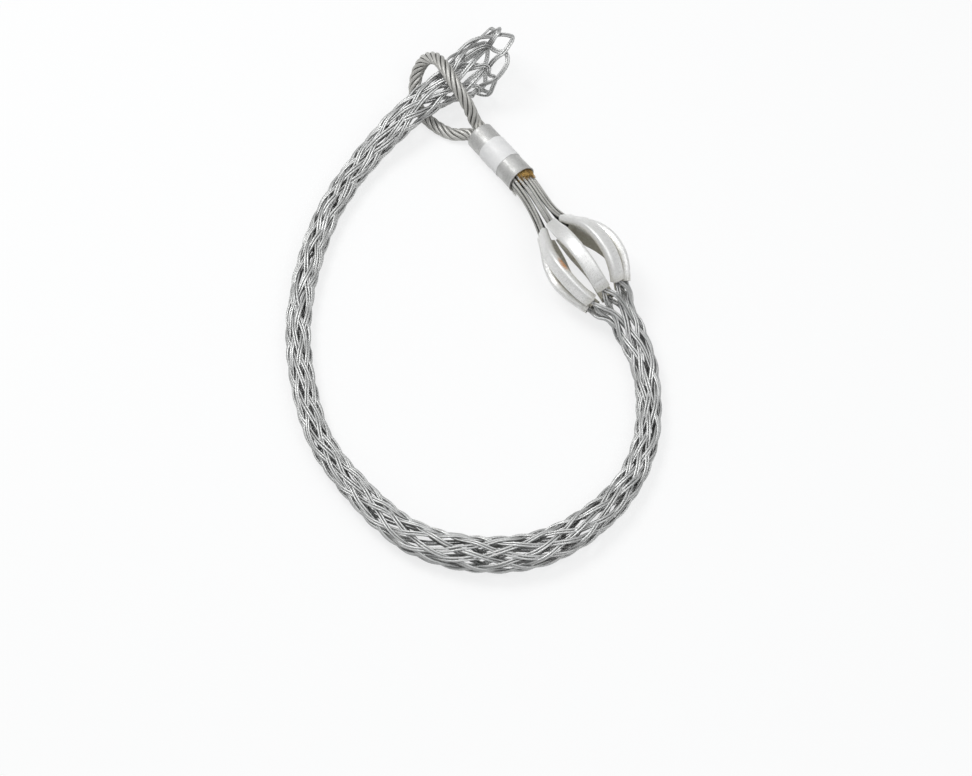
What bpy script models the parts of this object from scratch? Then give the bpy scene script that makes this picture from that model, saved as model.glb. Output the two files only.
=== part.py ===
"""Cable pulling grip: a rope eye, a pressed ferrule, a shoulder of eight tubes and a woven sleeve.

The grip lies on the floor as it would be put down: the woven sleeve runs round in an open ring
and its mouth passes through the grip's own eye. Lengths are in metres, +Z is up, and +Y points
away from someone who stands at the bottom of the ring.
"""

import math

import bmesh
import bpy
import numpy as np
from mathutils import Matrix, Vector

MM = 0.001
NAME = "cable_pulling_grip"

# Clearances
SEAT_GAP = 0.3 * MM
PRESS_GAP = 0.7 * MM
FLOOR_GAP = 0.1 * MM
MOUTH_GAP = 2.7 * MM

# Eye rope: eight strands laid round a fibre core
ROPE_STRANDS = 8
ROPE_DIAMETER = 12.2 * MM
ROPE_LAY = 84.0 * MM
ROPE_RING_STEP = 5.0 * MM
ROPE_STRAND_DIAMETER = 3.1 * MM
ROPE_FURROW = 0.35 * ROPE_STRAND_DIAMETER
LEG_END_DEPTH = 22.0 * MM
LEG_LEAD = 6.0 * MM
LAY_START = (0.3, 0.4, 0.85)
CORE_DIAMETER = 5.2 * MM
CORE_STICK_OUT = 3.0 * MM

# Ferrule: an aluminium sleeve pressed over both legs of the eye
FERRULE_LENGTH = 66.0 * MM
FERRULE_WALL = 1.4 * MM
FERRULE_FLARE = 0.6 * MM
FERRULE_FLARE_LENGTH = 4.0 * MM
FERRULE_EDGE = 0.5 * MM
FERRULE_BORE_RADIUS = ROPE_DIAMETER + 1.5 * SEAT_GAP
FERRULE_RADIUS = FERRULE_BORE_RADIUS + FERRULE_WALL
LEG_OFFSET = (ROPE_DIAMETER + SEAT_GAP) / 2.0
LEG_LEAN = math.radians(55.0)
ROUND_SIDES = 28

# Label: a bare white wrap round the middle of the ferrule
LABEL_START = 19.0 * MM
LABEL_WIDTH = 26.0 * MM
LABEL_THICKNESS = 0.4 * MM

# Shoulder: eight bent tubes that spread and join the strands
TUBE_COUNT = 8
TUBE_WIDTH = 11.6 * MM
TUBE_HEIGHT = 9.6 * MM
TUBE_WALL = 1.2 * MM
TUBE_SIDES = 10
TUBE_RINGS = 8
CAGE_START = 66.0 * MM
CAGE_SPAN = 86.0 * MM
CAGE_TOP_RADIUS = 16.4 * MM
CAGE_RADIUS = 33.4 * MM
CAGE_END_RADIUS = 21.5 * MM
CAGE_RISE = ((0.0, 0.0), (0.18, 0.38), (0.36, 0.8))
CAGE_CREST = 0.55
CAGE_FALL = ((0.74, 0.84), (0.89, 0.42), (1.0, 0.0))
STRAND_ENTRY = 11.0 * MM
PAIR_ENTRY = 13.0 * MM
FAN_DEPTH = 14.0 * MM
FAN_POINTS = 4
PRESS_SHARE = 2.0 / 7.0
TUBE_PHASE = math.radians(-16.0)
START_SLANT = 3.0 * MM
END_SLANT = 8.0 * MM
SLANT_ROWS = 4

# Woven sleeve: each tube gives one pair of strands either way round
STRAND_DIAMETER = 2.3 * MM
CELL_SIDE = 20.0 * MM
LAYER_GAP = 0.6 * MM
OPEN_RADIUS = 14.0 * MM
OPEN_LIFT = 2.0 * MM
MOUTH_LEAN = 17.0 * MM
MOUTH_SKEW = 4.0 * MM
MOUTH_ROWS = 4
ARCH_SHARE = 0.5
ARCH_POINTS = 4
PAIR_BACK_HALF_WIDTH = 1.7
PAIR_BACK = 0.7
PAIR_FURROW = 0.25
LAYER_STEP = STRAND_DIAMETER + LAYER_GAP
SLEEVE_WALL = LAYER_STEP + STRAND_DIAMETER
NECK_BORE = CAGE_END_RADIUS - SLEEVE_WALL / 2.0

# Heights of what lies on the floor
FERRULE_TILT = 7.0 * MM
NECK_SHARE = 0.76
END_HEIGHT = FERRULE_RADIUS + FLOOR_GAP
MOUTH_HEIGHT = END_HEIGHT + FERRULE_TILT
CREST_HEIGHT = CAGE_RADIUS + TUBE_HEIGHT / 2.0 + FLOOR_GAP
NECK_HEIGHT = NECK_SHARE * CREST_HEIGHT
LEG_HEIGHT = ROPE_DIAMETER / 2.0 + FLOOR_GAP
OVER_LEG = ROPE_DIAMETER + 2.0 * SEAT_GAP

# Sleeve's course: plan x, plan y, height of its underside, clear radius inside it
SLEEVE_COURSE = (
    (122.0 * MM, 66.0 * MM, 8.5 * MM, 11.0 * MM),
    (133.0 * MM, 46.8 * MM, 2.0 * MM, 9.8 * MM),
    (143.2 * MM, 20.4 * MM, FLOOR_GAP, 8.2 * MM),
    (147.5 * MM, -15.0 * MM, FLOOR_GAP, 7.2 * MM),
    (145.5 * MM, -50.0 * MM, FLOOR_GAP, 7.2 * MM),
    (130.5 * MM, -94.0 * MM, FLOOR_GAP, 7.8 * MM),
    (97.0 * MM, -135.0 * MM, FLOOR_GAP, 10.0 * MM),
    (47.0 * MM, -164.5 * MM, FLOOR_GAP, 11.6 * MM),
    (-5.0 * MM, -170.0 * MM, FLOOR_GAP, 11.8 * MM),
    (-62.0 * MM, -154.5 * MM, FLOOR_GAP, 10.6 * MM),
    (-116.0 * MM, -105.5 * MM, FLOOR_GAP, 8.2 * MM),
    (-148.0 * MM, -60.0 * MM, FLOOR_GAP, 7.2 * MM),
    (-166.5 * MM, 0.0 * MM, FLOOR_GAP, 7.2 * MM),
    (-172.5 * MM, 55.0 * MM, FLOOR_GAP, 7.2 * MM),
    (-165.0 * MM, 120.0 * MM, FLOOR_GAP, 7.2 * MM),
    (-144.0 * MM, 184.0 * MM, FLOOR_GAP, 7.4 * MM),
    (-108.0 * MM, 240.0 * MM, 3.0 * MM, 8.0 * MM),
    (-85.0 * MM, 264.0 * MM, 0.72 * OVER_LEG, 9.2 * MM),
    (-61.0 * MM, 286.0 * MM, OVER_LEG, 10.2 * MM),
    (-37.0 * MM, 304.0 * MM, OVER_LEG, 12.6 * MM),
    (-22.5 * MM, 315.5 * MM, 9.0 * MM, 17.0 * MM),
    (-8.0 * MM, 326.0 * MM, 4.2 * MM, 21.4 * MM),
    (5.5 * MM, 329.5 * MM, MOUTH_GAP, 25.6 * MM),
)

# Ferrule's ends on the plan, and the stretch from its mouth to the sleeve
FERRULE_END_PLAN = (-6.0 * MM, 259.0 * MM)
FERRULE_MOUTH_PLAN = (33.5 * MM, 206.5 * MM)
FAN_PLAN = (66.0 * MM, 147.0 * MM)
CREST_PLAN = (94.3 * MM, 105.8 * MM)
NECK_PLAN = (112.0 * MM, 79.0 * MM)

# Eye: the legs leave the ferrule, one over the sleeve and one under it; plan x, plan y, height
CROSSING_BORE = 13.0 * MM
OVER_SLEEVE = OVER_LEG + 2.0 * (CROSSING_BORE + SLEEVE_WALL) + ROPE_DIAMETER / 2.0
EYE_COURSE = (
    (-18.0 * MM, 278.0 * MM, 0.73 * OVER_SLEEVE),
    (-29.0 * MM, 290.5 * MM, 0.97 * OVER_SLEEVE),
    (-39.0 * MM, 308.5 * MM, OVER_SLEEVE),
    (-48.5 * MM, 324.0 * MM, 0.85 * OVER_SLEEVE),
    (-58.0 * MM, 330.0 * MM, 0.62 * OVER_SLEEVE),
    (-66.0 * MM, 324.0 * MM, 0.36 * OVER_SLEEVE),
    (-68.5 * MM, 311.0 * MM, 1.5 * LEG_HEIGHT),
    (-65.0 * MM, 294.5 * MM, LEG_HEIGHT),
    (-53.0 * MM, 278.0 * MM, LEG_HEIGHT),
    (-33.5 * MM, 265.0 * MM, LEG_HEIGHT),
)

STRETCH_SAMPLES = 40


class Course:
    """A smooth course through chosen points, read by the length along it."""

    def __init__(self, rows):
        rows = np.array(rows, dtype=float)
        steps = np.linalg.norm(np.diff(rows[:, :3], axis=0), axis=1)[:, None]
        slopes = np.diff(rows, axis=0) / steps
        tangents = np.vstack((slopes[:1], slopes[-1:]))
        inner = (slopes[:-1] * steps[1:] + slopes[1:] * steps[:-1]) / (steps[1:] + steps[:-1])
        tangents = np.vstack((tangents[:1], inner, tangents[1:]))
        shares = np.linspace(0.0, 1.0, STRETCH_SAMPLES, endpoint=False)[:, None]
        stretches = []
        for index, step in enumerate(steps[:, 0]):
            start = rows[index] * (1.0 + 2.0 * shares) * (1.0 - shares) ** 2
            leave = tangents[index] * step * shares * (1.0 - shares) ** 2
            reach = rows[index + 1] * shares**2 * (3.0 - 2.0 * shares)
            arrive = tangents[index + 1] * step * shares**2 * (shares - 1.0)
            stretches.append(start + leave + reach + arrive)
        self.rows = np.vstack(stretches + [rows[-1:]])
        pieces = np.linalg.norm(np.diff(self.rows[:, :3], axis=0), axis=1)
        self.lengths = np.concatenate(([0.0], np.cumsum(pieces)))
        self.length = self.lengths[-1]
        self.slopes = np.gradient(self.rows[:, :3], self.lengths, axis=0)

    def value(self, distance, column):
        """One column of the course at a distance along it."""
        return float(np.interp(distance, self.lengths, self.rows[:, column]))

    def point(self, distance):
        """The place at a distance along the course."""
        return Vector([self.value(distance, column) for column in range(3)])

    def tangent(self, distance):
        """The direction of travel at a distance along the course."""
        slope = [float(np.interp(distance, self.lengths, self.slopes[:, axis])) for axis in range(3)]
        return Vector(slope).normalized()

    def outward(self, distance, angle):
        """The direction square to the course at an angle from its right-hand side."""
        tangent = self.tangent(distance)
        side = tangent.cross(Vector((0.0, 0.0, 1.0))).normalized()
        rise = side.cross(tangent)
        return side * math.cos(angle) + rise * math.sin(angle)

    def place(self, distance, angle, radius):
        """A place round the course at an angle and a radius."""
        return self.point(distance) + self.outward(distance, angle) * radius

    def nearest(self, place):
        """The distance along the course at which it passes closest to a place."""
        gaps = np.linalg.norm(self.rows[:, :3] - np.array(place), axis=1)
        return float(self.lengths[int(np.argmin(gaps))])


def clear_scene():
    """Remove what the scene holds."""
    for item in list(bpy.data.objects):
        bpy.data.objects.remove(item, do_unlink=True)


def make_material(name, colour, roughness, metallic):
    """A plain finish for one kind of piece."""
    material = bpy.data.materials.new(name)
    material.use_nodes = True
    shader = material.node_tree.nodes["Principled BSDF"]
    shader.inputs["Base Color"].default_value = (*colour, 1.0)
    shader.inputs["Roughness"].default_value = roughness
    shader.inputs["Metallic"].default_value = metallic
    material.diffuse_color = (*colour, 1.0)
    return material


def add_object(name, data, material, frame):
    """Put a mesh or a curve in the grip's collection, under the grip's frame."""
    item = bpy.data.objects.new(name, data)
    bpy.data.collections[NAME].objects.link(item)
    data.materials.append(material)
    item.parent = frame
    return item


def sweep(name, places, outwards, sections, closed):
    """A mesh that carries a section along places, its flat side kept to the outward side.

    Each section is a list of (across, out) points. A closed sweep has both ends capped.
    """
    mesh = bmesh.new()
    rings = []
    for index, place in enumerate(places):
        before = places[max(index - 1, 0)]
        after = places[min(index + 1, len(places) - 1)]
        along = (place - before).normalized() + (after - place).normalized()
        along.normalize()
        out = outwards[index] - along * outwards[index].dot(along)
        out.normalize()
        across = along.cross(out)
        ring = [mesh.verts.new(place + across * x + out * y) for x, y in sections[index]]
        rings.append(ring)
    for first, second in zip(rings, rings[1:]):
        for corner in range(len(first)):
            nearby = (corner + 1) % len(first)
            mesh.faces.new((first[corner], first[nearby], second[nearby], second[corner]))
    if closed:
        mesh.faces.new(rings[0])
        mesh.faces.new(rings[-1])
    bmesh.ops.recalc_face_normals(mesh, faces=mesh.faces)
    data = bpy.data.meshes.new(name)
    mesh.to_mesh(data)
    mesh.free()
    return data


def ellipse(width, height, sides):
    """An oval section of the given full width and height."""
    turn = 2.0 * math.pi / sides
    return [
        (width / 2.0 * math.cos(turn * side), height / 2.0 * math.sin(turn * side))
        for side in range(sides)
    ]


def wire_curve(name, places, diameter, resolution):
    """A round wire through the given places, with closed ends."""
    curve = bpy.data.curves.new(name, "CURVE")
    curve.dimensions = "3D"
    curve.bevel_depth = diameter / 2.0
    curve.bevel_resolution = resolution
    curve.use_fill_caps = True
    spline = curve.splines.new("POLY")
    spline.points.add(len(places) - 1)
    for point, place in zip(spline.points, places):
        point.co = (*place, 1.0)
    return curve


def turned_sleeve(name, profile, material, frame):
    """A ring turned from a closed (radius, height) profile with a Screw modifier."""
    data = bpy.data.meshes.new(name)
    mesh = bmesh.new()
    corners = [mesh.verts.new((radius, 0.0, height)) for radius, height in profile]
    for corner, nearby in zip(corners, corners[1:] + corners[:1]):
        mesh.edges.new((corner, nearby))
    mesh.to_mesh(data)
    mesh.free()
    item = add_object(name, data, material, frame)
    turn = item.modifiers.new("turn", "SCREW")
    turn.steps = ROUND_SIDES
    turn.render_steps = ROUND_SIDES
    turn.use_merge_vertices = True
    turn.merge_threshold = 0.01 * MM
    turn.use_smooth_shade = False
    return item


def ferrule_axes():
    """The ferrule's eye end, its direction of travel and the lean of its two legs."""
    start = Vector((*FERRULE_END_PLAN, END_HEIGHT))
    mouth = Vector((*FERRULE_MOUTH_PLAN, MOUTH_HEIGHT))
    along = (mouth - start).normalized()
    side = along.cross(Vector((0.0, 0.0, 1.0))).normalized()
    rise = side.cross(along)
    return start, along, side, rise


def ferrule_matrix():
    """Where the ferrule and what is turned about its axis stand."""
    start, along, side, rise = ferrule_axes()
    turn = Matrix((rise, side, along)).transposed()
    return Matrix.Translation(start) @ turn.to_4x4()


def leg_lean():
    """The direction from the ferrule's axis to the upper leg of the eye."""
    _, _, side, rise = ferrule_axes()
    return rise * math.sin(LEG_LEAN) - side * math.cos(LEG_LEAN)


def spine_course():
    """The middle of the shoulder and the sleeve, from the ferrule's mouth to the open end."""
    start, along, _, _ = ferrule_axes()
    mouth = start + along * FERRULE_LENGTH
    fan_height = (MOUTH_HEIGHT + CREST_HEIGHT) / 2.0
    rows = [
        (*mouth, NECK_BORE),
        (*FAN_PLAN, fan_height, NECK_BORE),
        (*CREST_PLAN, CREST_HEIGHT, NECK_BORE),
        (*NECK_PLAN, NECK_HEIGHT, NECK_BORE),
    ]
    for x, y, underside, bore in SLEEVE_COURSE:
        rows.append((x, y, underside + SLEEVE_WALL + bore, bore))
    return Course(rows)


def pair_angle(index):
    """The angle of one pair round the sleeve, before the sleeve's twist."""
    return 2.0 * math.pi * index / TUBE_COUNT


def tube_angle(index):
    """The angle of one tube round the shoulder."""
    return pair_angle(index) + TUBE_PHASE


def cage_profile(angle):
    """Distance from the ferrule's mouth and radius of a tube's middle line; upper tubes end sooner."""
    upper = max(0.0, math.sin(angle))
    start = CAGE_START + START_SLANT * upper
    span = CAGE_START + CAGE_SPAN - END_SLANT * upper - start
    crest = CAGE_RADIUS - CAGE_TOP_RADIUS
    drop = CAGE_RADIUS - CAGE_END_RADIUS
    rise = [(start + span * share, CAGE_TOP_RADIUS + crest * part) for share, part in CAGE_RISE]
    top = [(start + span * CAGE_CREST, CAGE_RADIUS)]
    fall = [(start + span * share, CAGE_END_RADIUS + drop * part) for share, part in CAGE_FALL]
    return rise + top + fall


def tube_course(spine, index):
    """The middle line of one tube."""
    angle = tube_angle(index)
    return Course([spine.place(distance, angle, radius) for distance, radius in cage_profile(angle)])


def tube_outward(spine, course, index, distance):
    """The outward direction square to one tube at a distance along it."""
    out = spine.outward(spine.nearest(course.point(distance)), tube_angle(index))
    along = course.tangent(distance)
    return (out - along * out.dot(along)).normalized()


def build_tube(spine, index, material, frame):
    """One shoulder tube, pressed onto its strands at the upper end and open at the lower."""
    course = tube_course(spine, index)
    inside = 2.0 * (TUBE_WALL + PRESS_GAP)
    pressed = (2.0 * ROPE_STRAND_DIAMETER + SEAT_GAP + inside, ROPE_STRAND_DIAMETER + inside)
    places = []
    outwards = []
    sections = []
    for ring in range(TUBE_RINGS):
        share = ring / (TUBE_RINGS - 1)
        distance = course.length * share
        places.append(course.point(distance))
        outwards.append(tube_outward(spine, course, index, distance))
        opening = min(1.0, share / PRESS_SHARE)
        width = pressed[0] + (TUBE_WIDTH - pressed[0]) * opening
        height = pressed[1] + (TUBE_HEIGHT - pressed[1]) * opening
        sections.append(ellipse(width, height, TUBE_SIDES))
    name = f"shoulder_tube_{index + 1}"
    item = add_object(name, sweep(name, places, outwards, sections, False), material, frame)
    wall = item.modifiers.new("wall", "SOLIDIFY")
    wall.thickness = TUBE_WALL
    wall.offset = -1.0
    wall.use_even_offset = True
    return item


def build_fan_strand(spine, index, half, material, frame):
    """One strand from the bore of the ferrule into the upper end of its tube."""
    course = tube_course(spine, index)
    start, along, side, rise = ferrule_axes()
    slot = math.pi / TUBE_COUNT / 2.0 * (1 if half else -1)
    ring_radius = FERRULE_BORE_RADIUS - SEAT_GAP - ROPE_STRAND_DIAMETER / 2.0
    angle = tube_angle(index) + slot
    spoke = (side * math.cos(angle) + rise * math.sin(angle)) * ring_radius
    mouth = start + along * FERRULE_LENGTH
    step = (ROPE_STRAND_DIAMETER + SEAT_GAP) / 2.0 * (1 if half else -1)
    rows = [mouth - along * FAN_DEPTH + spoke, mouth + spoke]
    for distance in (0.0, STRAND_ENTRY):
        out = tube_outward(spine, course, index, distance)
        across = out.cross(course.tangent(distance))
        rows.append(course.point(distance) + across * step)
    route = Course(rows)
    places = [rows[0]]
    first = FAN_DEPTH
    reach = route.length - STRAND_ENTRY - first
    for number in range(FAN_POINTS):
        places.append(route.point(first + reach * number / (FAN_POINTS - 1)))
    places.append(rows[-1])
    name = f"shoulder_strand_{2 * index + (2 if half else 1):02d}"
    return add_object(name, wire_curve(name, places, ROPE_STRAND_DIAMETER, 1), material, frame)


def pair_section():
    """Two strands side by side, with the furrow between them on the outer side."""
    half = STRAND_DIAMETER / 2.0
    return [
        (-PAIR_BACK_HALF_WIDTH * half, -PAIR_BACK * half),
        (PAIR_BACK_HALF_WIDTH * half, -PAIR_BACK * half),
        (half, half),
        (0.0, PAIR_FURROW * half),
        (-half, half),
    ]


def weave_stations(spine):
    """Distances along the spine of the rows of crossings, closer where the sleeve is wide."""
    step_angle = math.pi / TUBE_COUNT
    stations = [spine.nearest(tube_course(spine, 0).rows[-1])]
    while True:
        radius = spine.value(stations[-1], 3) + SLEEVE_WALL / 2.0
        step = math.sqrt(CELL_SIDE**2 - (radius * step_angle) ** 2)
        if stations[-1] + step > spine.length:
            break
        stations.append(stations[-1] + step)
    first = stations[0]
    stretch = (spine.length - first) / (stations[-1] - first)
    return [first + (station - first) * stretch for station in stations]


def weave_angle(stations, index, row, way):
    """The angle of a pair on one row; the sleeve's twist starts at the tubes and fades to the mouth."""
    twist = TUBE_PHASE * (1.0 - row / (len(stations) - 1))
    return pair_angle(index) + way * row * math.pi / TUBE_COUNT + twist


def weave_place(spine, stations, row, angle, way):
    """A crossing on one row: one way lies outside in the closed sleeve, and over and under in the mouth."""
    mouth_share = max(0.0, 1.0 - (len(stations) - 1 - row) / MOUTH_ROWS)
    tube_share = max(0.0, 1.0 - row / SLANT_ROWS)
    distance = stations[row] - END_SLANT * max(0.0, math.sin(angle)) * tube_share
    bore = spine.value(distance, 3) if row else NECK_BORE
    slope = (spine.value(distance + MM, 3) - spine.value(distance - MM, 3)) / (2.0 * MM)
    out = (spine.outward(distance, angle) - spine.tangent(distance) * slope).normalized()
    lift = way * LAYER_STEP / 2.0
    if bore > OPEN_RADIUS and row > len(stations) // 2:
        lift = way * OPEN_LIFT * (1 if (len(stations) - row) % 2 else -1)
    lean = mouth_share * (MOUTH_LEAN * math.sin(angle) - MOUTH_SKEW * math.cos(angle))
    place = spine.place(distance, angle, bore + SLEEVE_WALL / 2.0)
    return place + out * lift + spine.tangent(distance) * lean, out


def tube_lead(spine, index, way):
    """The stretch of a pair inside its tube, from its hidden end to the tube's open end."""
    course = tube_course(spine, index)
    lead = []
    for depth in (PAIR_ENTRY, PAIR_ENTRY / 2.0):
        distance = course.length - depth
        out = tube_outward(spine, course, index, distance)
        lead.append((course.point(distance) + out * way * LAYER_STEP / 2.0, out))
    return lead


def pair_run(spine, stations, index, way):
    """The stretch of a pair from inside its tube to the last row of crossings."""
    course = tube_lead(spine, index, way)
    for row in range(len(stations)):
        course.append(weave_place(spine, stations, row, weave_angle(stations, index, row, way), way))
    return course


def pair_arch(spine, stations, index):
    """The rounded turn of a pair at the mouth."""
    step_angle = math.pi / TUBE_COUNT
    last = len(stations) - 1
    turn_angle = weave_angle(stations, index, last, 1)
    arch_reach = ARCH_SHARE * (stations[-1] - stations[-2])
    tangent = spine.tangent(stations[-1])
    arch = []
    for number in range(1, ARCH_POINTS + 1):
        share = number / (ARCH_POINTS + 1)
        angle = turn_angle + 2.0 * step_angle * share
        over, out = weave_place(spine, stations, last, angle, 1)
        under, _ = weave_place(spine, stations, last, angle, -1)
        reach = arch_reach * (1.0 - (2.0 * share - 1.0) ** 2)
        arch.append((over.lerp(under, share) + tangent * reach, out))
    return arch


def build_mesh_pair(spine, stations, index, material, frame):
    """One pair of strands as two lengths: out to the top of its arch at the mouth, and back from it."""
    back = (index + len(stations)) % TUBE_COUNT
    arch = pair_arch(spine, stations, index)
    half = ARCH_POINTS // 2
    before, after = arch[half - 1], arch[half]
    middle = (before[0] + after[0]) / 2.0
    step = (after[0] - before[0]).normalized() * SEAT_GAP / 2.0
    out = (before[1] + after[1]).normalized()
    forth = pair_run(spine, stations, index, 1) + arch[:half] + [(middle - step, out)]
    home = [(middle + step, out)] + arch[half:] + pair_run(spine, stations, back, -1)[::-1]
    lengths = []
    for ending, course in (("out", forth), ("back", home)):
        places = [place for place, _ in course]
        outwards = [outward for _, outward in course]
        name = f"mesh_pair_{index + 1}_{ending}"
        sections = [pair_section()] * len(places)
        lengths.append(add_object(name, sweep(name, places, outwards, sections, True), material, frame))
    return lengths


def rope_section(turn):
    """The rope's section: rounded crowns of its strands with furrows between them."""
    points = []
    for corner in range(2 * ROPE_STRANDS):
        radius = ROPE_DIAMETER / 2.0 - (ROPE_FURROW if corner % 2 else 0.0)
        angle = turn + math.pi * corner / ROPE_STRANDS
        points.append((radius * math.cos(angle), radius * math.sin(angle)))
    return points


def eye_course():
    """The middle of the eye rope, from inside the ferrule round the eye and back."""
    start, along, _, _ = ferrule_axes()
    lean = leg_lean() * LEG_OFFSET
    inner = FERRULE_LENGTH - LEG_END_DEPTH
    depths = (inner, inner / 2.0, 0.0, -LEG_LEAD)
    upper = [start + lean + along * depth for depth in depths]
    lower = [start - lean + along * depth for depth in reversed(depths)]
    return Course(upper + [Vector(row) for row in EYE_COURSE] + lower)


def build_eye(material, frame):
    """The eye rope, with the lay of its strands as ridges."""
    course = eye_course()
    count = round(course.length / ROPE_RING_STEP)
    places = [course.point(course.length * number / count) for number in range(count + 1)]
    outwards = [Vector(LAY_START).normalized()]
    for before, after in zip(places, places[1:]):
        along = (after - before).normalized()
        out = outwards[-1] - along * outwards[-1].dot(along)
        outwards.append(out.normalized())
    turn = 2.0 * math.pi * course.length / count / ROPE_LAY
    sections = [rope_section(turn * number) for number in range(count + 1)]
    return add_object("eye_rope", sweep("eye_rope", places, outwards, sections, True), material, frame)


def build_ferrule(material, frame):
    """The pressed sleeve, with eased edges and a slight flare at its mouth."""
    inner = FERRULE_BORE_RADIUS
    outer = FERRULE_RADIUS
    bend = FERRULE_LENGTH - FERRULE_FLARE_LENGTH
    profile = [
        (inner + FERRULE_FLARE, FERRULE_LENGTH),
        (inner, bend),
        (inner, 0.0),
        (outer - FERRULE_EDGE, 0.0),
        (outer, FERRULE_EDGE),
        (outer, bend),
        (outer + FERRULE_FLARE, FERRULE_LENGTH),
    ]
    item = turned_sleeve("ferrule", profile[::-1], material, frame)
    item.matrix_local = ferrule_matrix()
    return item


def build_label(material, frame):
    """The bare wrap round the ferrule."""
    inner = FERRULE_RADIUS + SEAT_GAP
    outer = inner + LABEL_THICKNESS
    end = LABEL_START + LABEL_WIDTH
    profile = [(inner, end), (outer, end), (outer, LABEL_START), (inner, LABEL_START)]
    item = turned_sleeve("label_band", profile, material, frame)
    item.matrix_local = ferrule_matrix()
    return item


def build_core(sign, material, frame):
    """One end of the fibre core, which stands out of the ferrule's mouth."""
    start, along, _, _ = ferrule_axes()
    offset = leg_lean() * sign * (CORE_DIAMETER + SEAT_GAP) / 2.0
    inner = start + along * (FERRULE_LENGTH - LEG_END_DEPTH + SEAT_GAP) + offset
    outer = start + along * (FERRULE_LENGTH + CORE_STICK_OUT) + offset
    name = "core_end_upper" if sign > 0 else "core_end_lower"
    return add_object(name, wire_curve(name, [inner, outer], CORE_DIAMETER, 2), material, frame)


def stand_on_origin(frame, items):
    """Move the grip so that the middle of its footprint is at the origin."""
    bpy.context.view_layer.update()
    graph = bpy.context.evaluated_depsgraph_get()
    corners = []
    for item in items:
        evaluated = item.evaluated_get(graph)
        shape = evaluated.to_mesh()
        corners += [evaluated.matrix_world @ vertex.co for vertex in shape.vertices]
        evaluated.to_mesh_clear()
    places = np.array([tuple(corner) for corner in corners])
    low = places.min(axis=0)
    high = places.max(axis=0)
    frame.location = (-(low[0] + high[0]) / 2.0, -(low[1] + high[1]) / 2.0, -low[2])
    bpy.context.view_layer.update()


def build():
    """Build the whole grip."""
    clear_scene()
    collection = bpy.data.collections.new(NAME)
    bpy.context.scene.collection.children.link(collection)
    frame = bpy.data.objects.new("grip_frame", None)
    collection.objects.link(frame)
    galvanised = make_material("galvanised_strand", (0.42, 0.43, 0.43), 0.42, 0.9)
    rope_steel = make_material("rope_steel", (0.34, 0.34, 0.33), 0.5, 0.85)
    aluminium = make_material("tube_aluminium", (0.82, 0.82, 0.80), 0.25, 0.95)
    pressed = make_material("pressed_aluminium", (0.68, 0.68, 0.67), 0.4, 0.9)
    paper = make_material("label_white", (0.9, 0.9, 0.9), 0.6, 0.0)
    fibre = make_material("core_fibre", (0.25, 0.14, 0.05), 0.9, 0.0)
    spine = spine_course()
    stations = weave_stations(spine)
    items = [
        build_eye(rope_steel, frame),
        build_ferrule(pressed, frame),
        build_label(paper, frame),
        build_core(1, fibre, frame),
        build_core(-1, fibre, frame),
    ]
    for index in range(TUBE_COUNT):
        items.append(build_tube(spine, index, aluminium, frame))
        for half in (False, True):
            items.append(build_fan_strand(spine, index, half, rope_steel, frame))
        items += build_mesh_pair(spine, stations, index, galvanised, frame)
    stand_on_origin(frame, items)


build()
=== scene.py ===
"""Looks of a cable pulling grip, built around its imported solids.

Each sub-assembly is a class: the rope eye, the ferrule with its bare label and the ends of the
fibre core, the fan of strands, the shoulder tubes and the woven sleeve. Their courses repeat the
values of the part's source. Lengths are in metres, +Z is up, and the layout's zero is moved by
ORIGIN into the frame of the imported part.
"""

import logging  # noqa: E402
import math  # noqa: E402
from collections.abc import Callable  # noqa: E402
from dataclasses import dataclass, field  # noqa: E402
from enum import Enum  # noqa: E402

import bpy  # noqa: E402
import numpy as np  # noqa: E402
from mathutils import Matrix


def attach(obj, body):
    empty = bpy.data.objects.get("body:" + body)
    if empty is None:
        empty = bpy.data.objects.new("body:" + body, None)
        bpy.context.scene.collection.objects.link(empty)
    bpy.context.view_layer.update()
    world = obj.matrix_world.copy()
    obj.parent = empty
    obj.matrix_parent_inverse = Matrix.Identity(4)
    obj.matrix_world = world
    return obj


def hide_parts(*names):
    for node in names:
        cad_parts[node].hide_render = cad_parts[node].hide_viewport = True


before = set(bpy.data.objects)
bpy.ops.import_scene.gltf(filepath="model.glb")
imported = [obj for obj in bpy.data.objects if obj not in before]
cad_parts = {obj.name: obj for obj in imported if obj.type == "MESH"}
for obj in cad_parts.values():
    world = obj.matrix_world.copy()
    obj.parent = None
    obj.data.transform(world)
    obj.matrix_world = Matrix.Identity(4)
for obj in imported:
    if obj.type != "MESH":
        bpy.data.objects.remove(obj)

LOG = logging.getLogger("cable_pulling_grip")
MM = 0.001
UP = np.array((0.0, 0.0, 1.0))
ORIGIN = np.array((12.4595, -87.4071, 0.1783)) * MM
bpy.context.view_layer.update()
WHOLE = (0.0, 1.0)
WAVE_HEIGHTS = (0.3, 1.0)
WAVE_STARTS = (0.0, 6.3)

Colour = tuple[float, float, float]
Source = bpy.types.NodeSocket | Colour | float
Setting = str | float | bool | bpy.types.NodeTree


class Way(Enum):
    """Which way round the sleeve a pair of strands runs."""

    OUT = 1
    BACK = -1


class Slot(Enum):
    """The record's material slots."""

    SLEEVE = "galvanised_strand"
    ROPE = "rope_steel"
    TUBE = "tube_aluminium"
    FERRULE = "pressed_aluminium"
    LABEL = "label_white"
    CORE = "core_fibre"


def unit(values: np.ndarray) -> np.ndarray:
    """Scale each row of an array, or one vector, to length one."""
    return values / np.linalg.norm(values, axis=-1, keepdims=True)


def eased(share: np.ndarray) -> np.ndarray:
    """A smooth step from 0 to 1 over a share that runs from 0 to 1."""
    held = np.clip(share, 0.0, 1.0)
    return held * held * (3.0 - 2.0 * held)


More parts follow.
